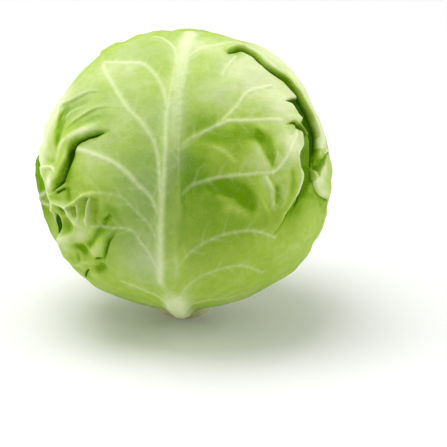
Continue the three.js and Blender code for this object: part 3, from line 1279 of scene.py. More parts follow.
        # the painted shade of the grooves, and the green with its painted light and shade, from the relief
        crease = np.zeros(count)
        tone = np.full(count, self.tone)
        shift = np.zeros((count, 2))
        for relief in self.relief:
            form = relief.formed(places)
            height = height + form.height
            shift = shift + form.shift
            crease = np.maximum(crease, form.crease)
            tone = tone + form.tone
        return Shaped(np.maximum(height, LOWEST), shift, vein, twig, crease, tone)

    @staticmethod
    def _rib(by: Beside, half: Pair, strength: Pair) -> Array:
        """The share of a rib's height at each place beside it."""
        return lerp(strength, by.share) * hump(by.distance, lerp(half, by.share))

    def _mark(self, mesh: bpy.types.Mesh, places: Places, shaped: Shaped) -> None:
        """Keeps in the mesh what its finish reads: the blade laid out flat, and where its features are.

        Args:
            mesh: The blade's mesh.
            places: Where its points lie on the blade.
            shaped: What shapes and marks it there.
        """
        bloom = sum((patch.formed(places).tone for patch in self.blooms), np.zeros(len(places.across)))
        edge = HEAD_RADIUS * (1 - places.reach) * self.outline(places.bearing)
        margin = hump(edge, self.margin_width)
        for name, values in {
            "vein": shaped.vein, "twig": shaped.twig, "tone": shaped.tone, "bloom": bloom,
            "crease": shaped.crease, "margin": margin,
        }.items():
            mark = mesh.attributes.new(name, "FLOAT", "POINT")
            mark.data.foreach_set("value", values.astype(np.float32))
        flat = np.stack([places.across, places.along], 1) / LeafFinish.UV_SPAN + 0.5
        layer = mesh.uv_layers.new(name="blade")
        corners = np.empty(len(mesh.loops), np.int32)
        mesh.loops.foreach_get("vertex_index", corners)
        layer.data.foreach_set("uv", flat[corners].astype(np.float32).ravel())


# ---------------------------------------------------------------- the leaves


def even(value: Union[float, Pair]) -> Pair:
    """The values at a line's start and end, which are the same where only one is given."""
    return value if isinstance(value, tuple) else (value, value)


def pleat(
    *points: Pair, half: Union[float, Pair], height: Union[float, Pair], fade: Pair = (0.3, 0.3),
    tone: float = 0.0, radius: float = SKIN_RADIUS,
) -> Ridge:
    """A pleat of the front leaf along places seen from the front, or a furrow where its height is below 0."""
    return Ridge(seen_line(*points, radius=radius), even(half), even(height), fade, tone=tone)


def patches(*rows: tuple[float, float, float, float]) -> tuple[Patch, ...]:
    """Patches of the front leaf from rows of a place as it looks from the front, a spread and an amount."""
    return tuple(Patch(seen(x, y), spread, amount) for x, y, spread, amount in rows)


FRONT_MIDRIB = (
    ((0, -152), (-3, -120), (-6, -85))
    + seen_line((-7.5, -62), (-7.5, -33), (-7.5, -15), (-7.5, 0), (-7, 16), (-6.5, 33), (-5, 49), (-3, 62),
                (0, 79), (3.5, 88))
    + ((18, 128),)
)
# Places along each side vein as they look from the front, its half width and its strength
SIDE_VEINS = (
    (((-14.5, -63), (-14, -52), (-14, -35.5), (-13, -17.5), (-12, -2.5), (-11, 15.5), (-10.5, 34),
        (-8.5, 48.5), (-6, 63), (-3.5, 79.5)), (2.9, 1.2), (0.55, 0.4)),
    (((-3.5, 0), (-3.5, 15.5), (-3, 31), (-2, 49), (0, 61), (3, 79.5), (6, 87)), (0.8, 3.2), (0.15, 0.95)),
    (((-5.5, 18), (-4.5, 40), (-2.5, 60), (0, 76), (4, 88)), (4.6, 5.0), (0.25, 0.9)),
    (((-3.5, 64), (-5.5, 77), (-9.5, 82), (-14.5, 85), (-19, 85.5)), (1.4, 1.2), (0.6, 0.5)),
    (((-9.5, 38), (-11.5, 49), (-14, 56), (-18.5, 63), (-25, 68.5), (-34, 69.5), (-44.5, 70), (-50, 70)),
        (1.5, 1.4), (0.4, 0.7)),
    (((-13.5, -20), (-14.5, -2.5), (-15.5, 9.5), (-17.5, 18.5), (-20.5, 25), (-27, 34), (-35.5, 43),
        (-42.5, 54.5), (-47, 62), (-50, 68.5)), (1.3, 1.4), (0.4, 0.7)),
    (((-14, -26), (-17.5, -18.5), (-21.5, -11.5), (-28.5, -5), (-35.5, 2.5), (-43.5, 8.5), (-50.5, 11.5),
        (-58, 14.5), (-64.5, 16.5)), (1.2, 1.9), (0.25, 0.85)),
    (((-14, -44), (-17, -37.5), (-22.5, -28), (-29.5, -21.5), (-37.5, -13.5), (-46, -11), (-55.5, -10.5),
        (-63, -13), (-72, -19)), (1.2, 1.1), (0.25, 0.15)),
    (((-15, -58), (-20.5, -49), (-26.5, -40.5), (-32.5, -33), (-44.5, -31.5), (-57, -31)), (1.3, 1.0),
        (0.3, 0.22)),
    (((-0.5, 64), (3.5, 73.5), (9.5, 78), (18.5, 80), (26.5, 79.5), (36, 79)), (1.6, 1.3), (0.6, 0.4)),
    (((-1, 19), (3.5, 22.5), (12, 27), (20.5, 31.5), (26.5, 37), (32.5, 43), (37, 49.5), (41.5, 52.5),
        (54, 55.5)), (1.4, 1.0), (0.3, 0.65)),
    (((20.5, 31), (28, 34), (38, 34), (47.5, 34.5), (60, 34.5)), (1.3, 1.2), (0.65, 0.6)),
    (((-1, -11), (3.5, -6.5), (11, -3.5), (23, -0.5), (38, 1), (47.5, 2), (55, 2.5), (60, 8.5), (63, 14.5),
        (67, 23), (68.5, 28)), (1.2, 1.1), (0.2, 0.85)),
    (((50, 1), (52.5, -7), (55, -20.5)), (1.3, 1.0), (0.4, 0.2)),
    (((-4, -54), (5, -46), (17.5, -38.5), (31, -34.5), (45, -34), (56, -38)), (1.4, 1.0), (0.15, 0.4)),
    (((-4, -72), (8, -63), (22, -57), (36, -55), (48, -59)), (1.4, 1.0), (0.2, 0.3)),
    (((23.5, 62), (27, 67.5), (32, 73)), (1.1, 1.0), (0.3, 0.5)),
)
# Arc lengths along the side veins under the head, where nothing is seen from the front
LOW_VEINS = (
    ((-5, -104), (8, -98), (24, -93), (42, -93), (58, -97)),
    ((-7, -94), (-18, -85), (-31, -77), (-44, -73)),
    ((-3, -128), (12, -121), (30, -118), (48, -121)),
    ((-5, -122), (-20, -112), (-36, -104), (-54, -102)),
)
FRONT_VEINS = (
    *(Vein(seen_line(*points), half, strength) for points, half, strength in SIDE_VEINS),
    # a line without height near the left edge, which twigs grow from
    Vein(seen_line((-66, 57), (-77, 41), (-84, 24), (-87, 8), radius=88), (3.0, 3.0), (0.0, 0.0)),
    *(Vein(points, (1.6, 1.0), (0.5, 0.25)) for points in LOW_VEINS),
)
RIGHT_CREASE = seen_line((25, 73.5), (29, 74.5), (34.5, 75), (39.5, 72.5), (44, 69), (49, 64.5), (55, 60.5),
    (60, 57), (64, 52.5), (67.5, 48.5), (70.5, 43.5), (73, 39), (75.5, 34), (77.5, 28.5), (79, 23),
    (79, 17), (78.5, 11), (78, 5), radius=87.3)
LOBE_EDGE = seen_line((70, 31), (72.5, 27), (73, 21.5), (72.5, 17), (70.5, 13.5), (70.5, 8.5), (71.5, 3),
    (71.5, -1), (70, -6.5), (68, -12.5), (65, -18.5), (60.5, -28.5), (52, -42.5), radius=89.2)
KNUCKLE = seen_line((62, 31), (66, 32.5), (69.5, 31), (72.5, 28), (74.5, 23.5))
RUFFLE_RIM = seen_line((77, 5), (76.5, 0), (77.5, -5), (79, -9), (82, -12.5), (86.5, -15), radius=88)
VALLEY = (
    (seen(72.5, 35.5, 87.3),)
    + RIGHT_CREASE[12:]
    + seen_line((76.5, 1), (76, -3.5), (73.5, -8), (70.5, -12.5), radius=87.3)
    + seen_line((68.5, -13.5), (70, -9), (71.5, -5), (72, -1), (71.5, 3.5), (70.5, 9), (71.5, 13.5), (73, 17),
                (73.5, 21.5), (72.5, 27), (69.5, 31), radius=89.2)
)
LEFT_CREASE = seen_line((-44, 25.5), (-48.5, 25.5), (-53, 24), (-58, 22.5), (-63, 20.5), (-65.5, 18),
    (-66.5, 14.5), (-67, 10.5), (-68.5, 6), (-70, 2), (-72, -3), (-76, -7.5), (-80.5, -11), radius=86.8)
SHORT_PLEAT = seen_line((-41, -35), (-44.5, -38.5), (-46, -43), (-47, -47.5), (-48.5, -52))

RIGHT_FOLDS = (
    # the long pleat: a roll that leans over a groove, with painted shade in the groove and beside it and a
    # painted highlight on the roll's crest
    Fold(RIGHT_CREASE, Side.LEFT, (3.2, 2.6), (2.0, 0.8), 24, hang=1.1, bead=0.5, fade=(0.1, 0.08),
        dark=0.35, rim=0.22),
    Crease(RIGHT_CREASE, 0.9, 1.6, dark=1.0, fade=(0.06, 0.1)),
    Crease(RIGHT_CREASE[1:11], 1.3, 0.0, dark=0.8, fade=(0.1, 0.3)),
    Shade(RIGHT_CREASE[:12], Side.LEFT, (3.4, 1.8), -0.42, fade=(0.05, 0.4)),
    Shade(RIGHT_CREASE, Side.RIGHT, (3.0, 3.0), -0.3, fade=(0.1, 0.3)),
    Shade(RIGHT_CREASE[5:15], Side.LEFT, (5.5, 3.6), -0.55, fade=(0.3, 0.3)),
    pleat((31.5, 82), (47, 75.5), (59, 66.5), (69, 54.5), (77.5, 41), half=12, height=(3.2, 2.4),
        fade=(0.25, 0.3)),
    # the valley beside it, with painted shade deep in it
    Area(seen_line((62, 46), (66, 44.5), (68.5, 41), (70.5, 37.5), (73, 34.5)) + seen_line((75.5, 34),
        (73, 39), (70.5, 43.5), (68.5, 46.5), (66, 47), radius=87.3), 1.2, height=-2.0, dark=0.9),
    Area(VALLEY, 1.2, height=-1.6, dark=0.5),
    Area(seen_line((72, 34.5), (75.5, 34), (77.5, 28.5), (79, 23), (79, 17), (78.5, 11), (78, 5.5),
        (76.5, 5), (76.5, 15.5), (76, 23), (72.5, 29.5), radius=87.3), 1.6, height=-1.0, dark=0.9),
    # the lobe under the valley, with a knuckle at its top, and painted shade beside the lobe's lower edge
    Fold(LOBE_EDGE, Side.RIGHT, (2.0, 3.4), (1.2, 1.4), 20, hang=0.5, fade=(0.1, 0.2), rim=0.3),
    pleat((61.5, 34.5), (66, 35.5), (70, 35), (72.5, 33), half=2.2, height=1.2, fade=(0.3, 0.2), tone=0.1),
    Fold(KNUCKLE, Side.LEFT, (1.6, 2.4), (1.0, 1.2), 7, fade=(0.3, 0.1), dark=1.0),
    Crease(KNUCKLE, 0.8, 1.0, dark=1.0, fade=(0.3, 0.1)),
    Patch(seen(73.5, -8.5), 4.0, -0.35),
    Shade(LOBE_EDGE[8:], Side.LEFT, (11, 12), -0.5, fade=(0.02, 0.6)),
    # the ruffle below the valley, with painted shade in its folds, a painted highlight on its rim and painted
    # light on its face
    Shade(RUFFLE_RIM, Side.RIGHT, (8, 12), -0.35, fade=(0.05, 0.05)),
    Crease(seen_line((72.5, -3.5), (72, -8), (70, -12.5), (67.5, -17.5), (64, -22.5), radius=88.5), 0.9,
        0.9, dark=1.0, fade=(0.3, 0.3)),
    Fold(RUFFLE_RIM, Side.LEFT, (2.2, 2.4), (1.2, 1.4), 16, hang=0.3, fade=(0.08, 0.1), dark=0.6, rim=0.0),
    Area(seen_line((79, 16.5), (79.5, 13), (81.5, 10), (85, 12), (84, 8), (82.5, 3), (81, 0), (79, 2.5),
        (79, 9.5)), 1.3, tone=-0.3, height=-2.4, dark=0.25),
    Area(seen_line((79, 6.5), (82, 6.5), (82, 3), (80.5, 1)), 1.8, dark=0.6),
    pleat((76, 5), (77.5, 2.5), (79.5, -0.5), (82, -2), (83.5, 2.5), (84.5, 9.5), half=0.9, height=1.0,
        fade=(0.1, 0.1), tone=0.45),
    Crease(seen_line((90, 15.5), (86.5, 13.5), (82.5, 11), radius=89), 1.0, 1.8, dark=0.3),
    Ridge(seen_line((89, 17), (86, 15), radius=90) + seen_line((82.5, 13.5), (80.5, 17)), (1.0, 1.0),
        (0.8, 0.8), (0.3, 0.3), tone=0.4),
    Shade(seen_line((85, 11.5), (83.5, 5), (82, -0.5), (79, -1), (77.5, -5), (79, -9), (82, -12.5),
        (86.5, -15)), Side.LEFT, (12, 14), 0.42, fade=(0.1, 0.15)),
    # the pale back of the roll: painted sheen where it turns away towards the outline
    Shade(seen_line((73.5, 49.5), (77.5, 43), (81, 37.5), (83, 32), (83, 26), (81.5, 20), (81.5, 16.5),
        radius=90.5), Side.LEFT, (11, 11), 0.45, fade=(0.2, 0.05)),
    Streak(seen_line((47, 77.5), (58.5, 68.5), (68.5, 56), (75.5, 44.5)), 7.0, 0.25),
    # small pleats on the lobe, with painted light on their ridges and painted shade in their furrows
    pleat((47.5, 0.5), (51.5, -3), (54, -8), (54.5, -14.5), (52.5, -21.5), half=1.3, height=0.5,
        fade=(0.2, 0.2), tone=0.25),
    pleat((47, -14), (49, -18.5), (51.5, -23.5), half=1.2, height=0.8, tone=0.12),
    pleat((56, -4), (57, -10), (57, -16), half=1.2, height=-0.5, fade=(0.4, 0.4), tone=-0.25),
    pleat((57, 15.5), (56, 11), (55, 5), half=1.0, height=0.7, tone=0.25),
    pleat((60.5, 2.5), (60.5, -6), (60, -17.5), half=1.3, height=0.8, fade=(0.3, 0.2)),
    pleat((64.5, 6.5), (64.5, -2.5), (63, -13.5), half=1.4, height=-0.5, tone=-0.35),
    pleat((69.5, 5), (69.5, -2.5), (66.5, -12), half=1.8, height=0.8, tone=0.3),
    Crease(seen_line((66.5, 15.5), (68.5, 11), (69, 6.5)), 0.7, 0.5, dark=0.35, fade=(0.4, 0.4)),
    # dents and puffs between the veins, with painted shade in the dents and painted light on the puffs
    Area(seen_line((44.5, 28.5), (49.5, 27), (53, 24), (54, 18), (55.5, 12), (56, 7), (54.5, 5), (52, 8.5),
        (48.5, 14), (46, 19.5), (44, 23.5)), 1.9, tone=-0.42, height=-0.8),
    Area(seen_line((31.5, 33.5), (38.5, 32.5), (46, 29), (48.5, 23), (43.5, 21.5), (36, 23.5), (30, 28)),
        2.6, tone=-0.34),
    Area(seen_line((9.5, 23), (18, 28), (26.5, 29), (32.5, 25.5), (31.5, 20.5), (24, 18.5), (15.5, 20)),
        3.0, tone=-0.3),
    Area(seen_line((41.5, 20.5), (46, 17.5), (52, 7), (50.5, 4), (42.5, 5), (36, 6.5), (34, 12), (36, 18)),
        3.0, tone=0.26, height=0.6),
    pleat((11.5, 19.5), (18, 17.5), (24, 15), (30, 9.5), (37.5, 3.5), half=1.5, height=0.4, tone=0.25),
    Area(seen_line((14.5, -6.5), (23, -2.5), (30, -2), (38, -5), (43.5, -10.5), (44.5, -18), (41, -25.5),
        (35, -18.5), (26.5, -13.5), (19.5, -11)), 2.8, tone=-0.4, height=-0.4),
    pleat((18, -11), (25.5, -14), (33, -15.5), half=1.6, height=0.5, tone=0.3),
    pleat((20.5, -18), (29, -19.5), (38, -22.5), (44.5, -26.5), half=2.6, height=0.6, tone=0.35),
)
LEFT_FOLDS = (
    # the short deep pleat and the end of it at the outline, with painted shade in its groove and on both
    # sides of it
    Fold(LEFT_CREASE, Side.RIGHT, (2.2, 3.6), (1.4, 3.0), 18, hang=0.6, bead=0.4, fade=(0.25, 0.12),
        dark=0.75, rim=0.16),
    Crease(LEFT_CREASE, 1.0, 1.4, dark=1.0, fade=(0.15, 0.15)),
    Shade(LEFT_CREASE, Side.RIGHT, (2.4, 5.0), -0.32, fade=(0.15, 0.15)),
    Shade(LEFT_CREASE, Side.LEFT, (1.5, 5.0), -0.4, fade=(0.4, 0.2)),
    Area(seen_line((-66.5, 17), (-66, 14), (-66.5, 9.5), (-68, 5.5), (-69, 2), (-71.5, -2.5), (-70.5, 1),
        (-69.5, 5.5), (-68.5, 9.5), (-68, 14), radius=86.8), 1.4, dark=1.0),
    Crease(seen_line((-78, -10.5), (-75, -9), (-71.5, -7)), 1.1, 1.0, dark=0.8, fade=(0.2, 0.3)),
    pleat((-71.5, -6.5), (-70.5, -11.5), (-72, -16.5), half=2.4, height=-0.4, fade=(0.2, 0.3), tone=-0.4),
    pleat((-78, -9), (-74.5, -7), (-70.5, -4.5), half=0.9, height=(1.2, 1.0), fade=(0.2, 0.3), tone=0.35),
    # the slanting pleats above it, with painted light on their crests and painted shade below them
    Fold(seen_line((-79.5, 38), (-76, 41), (-72, 42), (-66.5, 44), (-61, 47), (-56, 49.5), (-50.5, 50),
        (-44.5, 48.5)), Side.LEFT, (1.8, 1.4), (1.5, 1.4), 12, fade=(0.25, 0.5), dark=0.05, rim=0.3),
    pleat((-77.5, 32.5), (-74.5, 38), (-67.5, 41), (-60.5, 44), (-55, 47), half=(3.2, 3.0),
        height=(-0.8, -0.5), fade=(0.1, 0.3), tone=-0.42),
    pleat((-75.5, 39.5), (-76, 34), (-76.5, 28), half=(3.0, 2.8), height=-0.5, fade=(0.2, 0.3), tone=-0.4),
    pleat((-73, 33), (-67.5, 38), (-61.5, 41), (-57.5, 44), half=1.2, height=0.8, fade=(0.3, 0.4),
        tone=0.25),
    Fold(seen_line((-73.5, 25), (-69, 28.5), (-63, 33), (-57, 37), (-51.5, 40), (-45.5, 41), (-38.5, 40)),
        Side.LEFT, (1.6, 1.1), (1.4, 1.3), 8, fade=(0.35, 0.5), dark=0.05, rim=0.3),
    pleat((-67.5, 27), (-60.5, 31.5), (-53, 35.5), (-44.5, 38.5), half=(2.6, 3.0), height=(-0.5, -0.4),
        fade=(0.3, 0.4), tone=-0.3),
    pleat((-55.5, 35.5), (-52, 37.5), (-48.5, 36), half=0.9, height=0.4, tone=0.12),
    pleat((-71.5, 36), (-66.5, 39.5), (-61.5, 42.5), half=0.9, height=0.4, tone=0.12),
    pleat((-76, 26.5), (-77.5, 21.5), (-79.5, 17.5), half=3.0, height=-0.4, tone=-0.2),
    pleat((-76.5, 6), (-76, 14.5), (-73.5, 19.5), (-69, 23), (-63, 26.5), (-56, 29), (-50, 32.5),
        (-45.5, 35.5), half=1.8, height=0.6, fade=(0.2, 0.4), tone=0.35),
    Shade(seen_line((-63, 23), (-55.5, 26.5), (-48.5, 28.5), (-43.5, 29)), Side.RIGHT, (2.6, 2.4), -0.3,
        fade=(0.3, 0.3)),
    # the knot of crumples below it, with painted light on its ridges and painted shade in its hollows
    pleat((-79.5, -14.5), (-75, -17), (-71.5, -19), (-69, -23), (-66, -27), (-63, -30), (-58.5, -34),
        half=(1.3, 1.4), height=(4.2, 2.9), fade=(0.1, 0.3), tone=0.28),
    pleat((-71.5, -18.5), (-66.5, -16.5), (-62, -12.5), (-57, -11), (-52, -12), (-46, -14), half=(1.4, 1.6),
        height=(3.8, 1.3), fade=(0.1, 0.6), tone=0.12),
    Crease(seen_line((-77.5, -18), (-75, -20.5), (-71.5, -23)), 0.9, 0.8, dark=0.4, fade=(0.3, 0.3)),
    Area(seen_line((-76, -20), (-72.5, -19.5), (-70, -23), (-71.5, -24), (-74.5, -23.5)), 1.0, tone=-0.3),
    Area(seen_line((-73.5, -25), (-71.5, -25.5), (-68.5, -29.5), (-67.5, -33), (-71.5, -35),
        (-73.5, -32.5)), 1.6, tone=-0.36, height=-1.2),
    Area(seen_line((-78, -21), (-75.5, -23), (-73.5, -27), (-73.5, -33), (-75.5, -40), (-77.5, -36),
        (-79, -29), radius=87), 1.4, tone=-0.4, height=-2.4, dark=0.3),
    Area(seen_line((-76.5, -22.5), (-74.5, -24), (-73.5, -30), (-74.5, -34.5), (-76, -39.5), (-76.5, -33),
        (-77, -27), radius=87), 1.0, dark=1.0),
    pleat((-81, -15), (-79.5, -21.5), (-78.5, -30), (-76.5, -38.5), half=(1.8, 2.2), height=0.4,
        fade=(0.1, 0.2)),
    pleat((-60, -12.5), (-61, -19.5), (-62.5, -27), half=(2.8, 2.0), height=(-1.9, -1.3), fade=(0.1, 0.3),
        tone=-0.28),
    pleat((-54, -12.5), (-53.5, -19.5), (-54.5, -27), (-55, -32), half=(2.8, 1.8), height=(-1.6, -1.0),
        fade=(0.15, 0.3), tone=-0.2),
    pleat((-68.5, -18), (-67, -21.5), (-66, -25.5), half=(1.8, 1.4), height=-1.0, fade=(0.2, 0.3),
        tone=-0.38),
    pleat((-65, -16.5), (-64.5, -21.5), (-64.5, -28), half=1.0, height=(1.9, 1.3), fade=(0.2, 0.3),
        tone=0.3),
    pleat((-57, -12.5), (-57.5, -18.5), (-59, -25.5), (-59.5, -32), half=(1.2, 1.4), height=(3.2, 2.2),
        fade=(0.2, 0.3), tone=0.4),
    Crease(seen_line((-44.5, -23), (-47.5, -26), (-50, -29)), 0.9, 0.8, dark=0.5, fade=(0.4, 0.4)),
    # the short pleats at the lower left, and the crumples between them, with painted light on the ridges and
    # painted shade in the furrows
    pleat((-49, -31), (-52.5, -35), (-56, -40), (-59, -43), half=(2.2, 2.6), height=-1.0, fade=(0.2, 0.2),
        tone=-0.6),
    pleat((-69.5, -43), (-64.5, -43), (-60.5, -44.5), (-61.5, -50), half=(2.4, 2.8), height=-1.3,
        fade=(0.35, 0.3), tone=-0.6),
    Patch(seen(-61, -44), 3.6, -0.4),
    pleat((-47.5, -35), (-50.5, -41.5), (-53, -49), half=(4.2, 4.0), height=1.6, fade=(0.25, 0.2),
        tone=0.16),
    Fold(SHORT_PLEAT, Side.RIGHT, (1.8, 1.8), (1.2, 1.4), 9, hang=0.4, fade=(0.35, 0.4), dark=0.75,
        rim=0.1),
    Shade(SHORT_PLEAT, Side.RIGHT, (2.4, 2.4), -0.5),
    Crease(seen_line((-54.5, -50.5), (-51.5, -50), (-48.5, -49)), 0.8, 0.9, dark=0.8, fade=(0.3, 0.3)),
    pleat((-75, -39.5), (-70, -37.5), (-65, -38.5), half=(4.0, 3.6), height=(3.2, 2.2), tone=0.1),
    pleat((-66, -55), (-61, -52), (-55.5, -52), (-50, -52.5), half=(2.2, 1.6), height=(2.6, 1.4),
        fade=(0.3, 0.4), tone=0.16),
    Crease(seen_line((-60.5, -63.5), (-59.5, -59), (-57, -56)), 1.0, 1.2, dark=0.8, fade=(0.3, 0.4)),
    pleat((-54, -58), (-50.5, -56), (-47, -54), half=(3.2, 3.4), height=(-1.3, -1.0), tone=-0.6),
    pleat((-75, -38.5), (-70, -36), (-64, -37.5), (-59, -36), half=(4.0, 3.0), height=(2.2, 1.4),
        fade=(0.2, 0.3), tone=0.12),
    pleat((-71.5, -46), (-67.5, -52), (-64, -57.5), half=2.6, height=1.6, fade=(0.2, 0.2), tone=0.12),
    pleat((-56, -42.5), (-54.5, -46), (-52.5, -49), half=2.2, height=1.4, tone=0.18),
    pleat((-63, -52), (-60.5, -54.5), (-61, -58), half=(2.6, 2.4), height=1.2, tone=0.14),
    pleat((-65, -44.5), (-64, -49.5), (-63, -52.5), half=2.0, height=-1.0, tone=-0.3),
    pleat((-50, -18), (-44.5, -20.5), (-38.5, -21.5), half=3.0, height=(-0.6, -0.4), fade=(0.3, 0.4),
        tone=-0.2),
    Crease(seen_line((-43, -23), (-47, -27), (-50, -32.5)), 1.6, 0.8, dark=0.25, fade=(0.3, 0.3)),
    pleat((-56, -63), (-54.5, -60), (-52, -60.5), half=2.4, height=(0.8, 0.6), fade=(0.3, 0.4), tone=0.15),
    pleat((-72.5, -30), (-70.5, -31.5), (-69, -32.5), half=2.6, height=-0.6, tone=-0.2),
    Patch(seen(-68.5, -49), 6.0, -0.2),
    pleat((-71.5, -44.5), (-67.5, -50.5), (-64.5, -55.5), half=2.0, height=0.6, tone=0.15),
    # the lip, the swells and the pale rim at the outline, the rim being painted sheen and the lip a painted
    # highlight
    pleat((-89, 5), (-86, 5.5), (-82, 5.5), (-79, 3.5), (-78, 0), half=(1.0, 1.2), height=(1.0, 0.8),
        fade=(0.1, 0.3), tone=0.4, radius=90),
    Crease(seen_line((-83.5, 11), (-81, 9), (-78.5, 9.5)), 1.6, 0.8, dark=0.2),
    pleat((-83.5, 28), (-86.5, 18), (-88, 9.5), half=10, height=-1.2, radius=88),
    pleat((-53, 73.5), (-46, 79.5), (-37.5, 84), half=9, height=2.4, radius=88),
    Streak(seen_line((-84.5, 0), (-82.5, -7), (-81.5, -12.5), radius=90), 2.4, 0.2),
)
# Paler and deeper patches of the front leaf's green, partly its own variation and partly painted light and
# painted shade
FRONT_TONES_AND_PAINTED_LIGHT = patches(
    (-48, 62, 24, 0.2), (-34, 22, 30, -0.16), (-76, 40, 12, 0.25), (44, 64, 26, 0.65), (8, 80, 14, 0.35),
    (-18, 66, 10, -0.12), (22, -26, 24, -0.3), (52, -24, 16, -0.15), (8, 2, 16, -0.4),
    (-64, -26, 18, -0.05), (-26, -16, 26, -0.3), (66, 18, 9, 0.4), (-43.5, 29, 17, 0.3),
    (-55.5, 6, 13, 0.22), (60.5, 43.5, 9, 0.35), (57, 35, 8, 0.15), (63, 23, 8, 0.25), (18, 48.5, 10, 0.25),
    (-60.5, -36, 8, 0.2), (-71.5, -37.5, 9, 0.12), (7, 31.5, 9, -0.25), (-20.5, 72.5, 36, 0.14),
    (-46, -31.5, 10, -0.2), (-5, 10, 8, -0.2), (37, 17, 7, -0.25), (-48, -51, 8, -0.15), (60, 9, 8, 0.15),
    (50, -11, 13, 0.18), (31.5, 74, 6, -0.3), (4, 66, 14, -0.05), (-67.5, -23, 13, 0.16),
    (-71.5, -43.5, 8, 0.15), (-82, -21.5, 5, 0.2), (-70, 46, 10, 0.15), (-48.5, -31.5, 6, -0.12),
    (-36, -41, 8, -0.15), (17, 36, 9, -0.2), (-26, 70, 12, -0.12), (-48, 52, 12, -0.06), (-81, -3, 6, 0.45),
    (-20.5, -53, 10, 0.35), (-59, -60.5, 6, -0.2), (60, 15.5, 6, -0.2), (-59, 26.5, 6, 0.18),
    (17, 7, 9, 0.12), (11.5, 73.5, 9, -0.2), (-48.5, 50.5, 8, -0.12), (-49.5, 34, 9, -0.22),
    (-70, -1, 6, -0.2),
) + (
    # the pale edge at the left, a painted sheen along the outline
    Streak(seen_line((-63, 65), (-76.5, 47), (-84.5, 31.5), (-88, 17), (-90, 3.5), (-89, -11), radius=88),
        24, 0.7),
    # both sides of the midrib: a painted highlight on its lit side and painted shade on the other
    Streak(seen_line((-4.5, -66), (-4.5, -38), (-3.5, -8), (-3.5, 14)), 1.2, 0.16),
    Streak(seen_line((-0.5, -4), (-1, -24), (-1.5, -46)), 1.0, -0.3),
    # the midrib under the globe
    Streak(((0, -180), (-2, -135), (-5, -100), (-7, -70)), 8.0, 0.8),
    # the pale rim of the long pleat, a painted sheen along the outline
    Streak(seen_line((32.5, 81), (47, 77.5), (58, 71.5), (66, 63), (70.5, 54), (75.5, 43.5), (80.5, 32.5),
        (84, 23.5), (86, 17), radius=91), 15.0, 0.6),
    # small pleats on the lobe: painted shade in a furrow and painted light on a ridge
    Streak(seen_line((56.5, -5), (56, -11.5), (55.5, -18)), 1.6, -0.25),
    Streak(seen_line((59.5, -3.5), (60, -12), (58.5, -20.5)), 1.2, 0.2),
    # between the veins: painted light on a puff and painted shade in the hollows
    Area(seen_line((-37, 70), (-30, 71.5), (-24, 69), (-29, 64.5), (-35, 64.5)), 2.0, tone=0.12),
    Area(seen_line((-75.5, 40), (-72, 41.5), (-68.5, 41.5), (-70.5, 35), (-72.5, 28), (-75.5, 20.5),
        (-77.5, 18), (-78, 26), (-77.5, 33), radius=87.5), 2.2, tone=-0.4, height=-0.4),
    Area(seen_line((-26.5, 81), (-15.5, 82), (-8.5, 75), (-9.5, 63), (-17, 66.5), (-23, 71.5)), 4.0,
        tone=-0.1),
)
FRONT_BLOOMS = patches(
    (-24, -6, 22, 0.5), (-50.5, 15.5, 18, 0.3), (18, 49.5, 12, 0.5), (-22, -50, 20, 0.8),
    (-8, 82, 34, 0.25), (-16, 34, 14, 0.5), (-6, 14, 8, 0.15), (-62, 46, 18, 0.5), (-24, 74, 20, 0.35),
    (-38, 46, 20, 0.4), (-5, 42, 10, 0.35), (-37.5, 75, 10, 0.35), (40, 66, 20, 0.3),
) + (
    Streak(seen_line((-5, -70), (-6, -50), (-5, -25), (-3, 5)), 6, -0.8),
)
RIGHT_MIDRIB = ((0, -138), (2, -90), (3, -30), (0, 40), (-6, 110))
LEFT_MIDRIB = ((0, -138), (-3, -90), (-4, -30), (1, 40), (6, 105))
BACK_MIDRIB = ((0, -135), (2, -80), (0, -20), (-3, 40), (0, 105))
INNER_MIDRIB = ((0, -130), (1, -80), (0, -20), (-2, 40), (0, 100))

FRONT_LEAF = Leaf(
    name="leaf_front",
    azimuth=0,
    elevation=20,
    layer=0,
    cells=(116, 104),
    reach=(93, 97, 101, 101, 94, 84, 80, 88, 99, 104, 98, 82, 73, 64, 84, 97, 98, 93),
    scallop=2.2,
    edge=Wave(17, 1.1),
    finer=((2.3, 2.6), (1.25, 1.3)),
    venation=Venation(FRONT_MIDRIB, (8.0, 4.4), FRONT_VEINS, seed=4, midrib_strength=(0.0, 0.35)),
    puffs=Puffs(1.6, 8.0),
    relief=(
        Ridge(FRONT_MIDRIB, (9.5, 4.0), (6.0, 0.3), flatness=3.0),
        Swellings(62, 1.0, 0.8),
        Ripples(Wave(17, 0.4), 1.2, 0.9),
        Ripples(Wave(41, 2.2), 0.8, 0.93),
    ) + RIGHT_FOLDS + LEFT_FOLDS + FRONT_TONES_AND_PAINTED_LIGHT,
    blooms=FRONT_BLOOMS,
)

RIGHT_LEAF = Leaf(
    name="leaf_right",
    azimuth=112,
    elevation=8,
    layer=1,
    cells=(140, 140),
    reach=(88, 87, 84, 76, 68, 62, 61, 68, 82, 95, 84, 70, 64, 64, 68, 74, 80, 86),
    scallop=3.0,
    edge=Wave(11, 2.6),
    venation=Venation(RIGHT_MIDRIB, (10.0, 3.2), paired_veins(5, -95, 38, 95, seed=7), seed=8),
    relief=(
        Ridge(RIGHT_MIDRIB, (10.0, 3.4), (6.0, 1.0)),
        Swellings(55, 1.6, 2.3),
        Ripples(Wave(13, 1.9), 3.0, 0.78),
        Ripples(Wave(37, 0.9), 0.9, 0.92),
        Patch((30, 20), 40, 0.2),
        Patch((-20, -40), 30, -0.15),
    ),
)

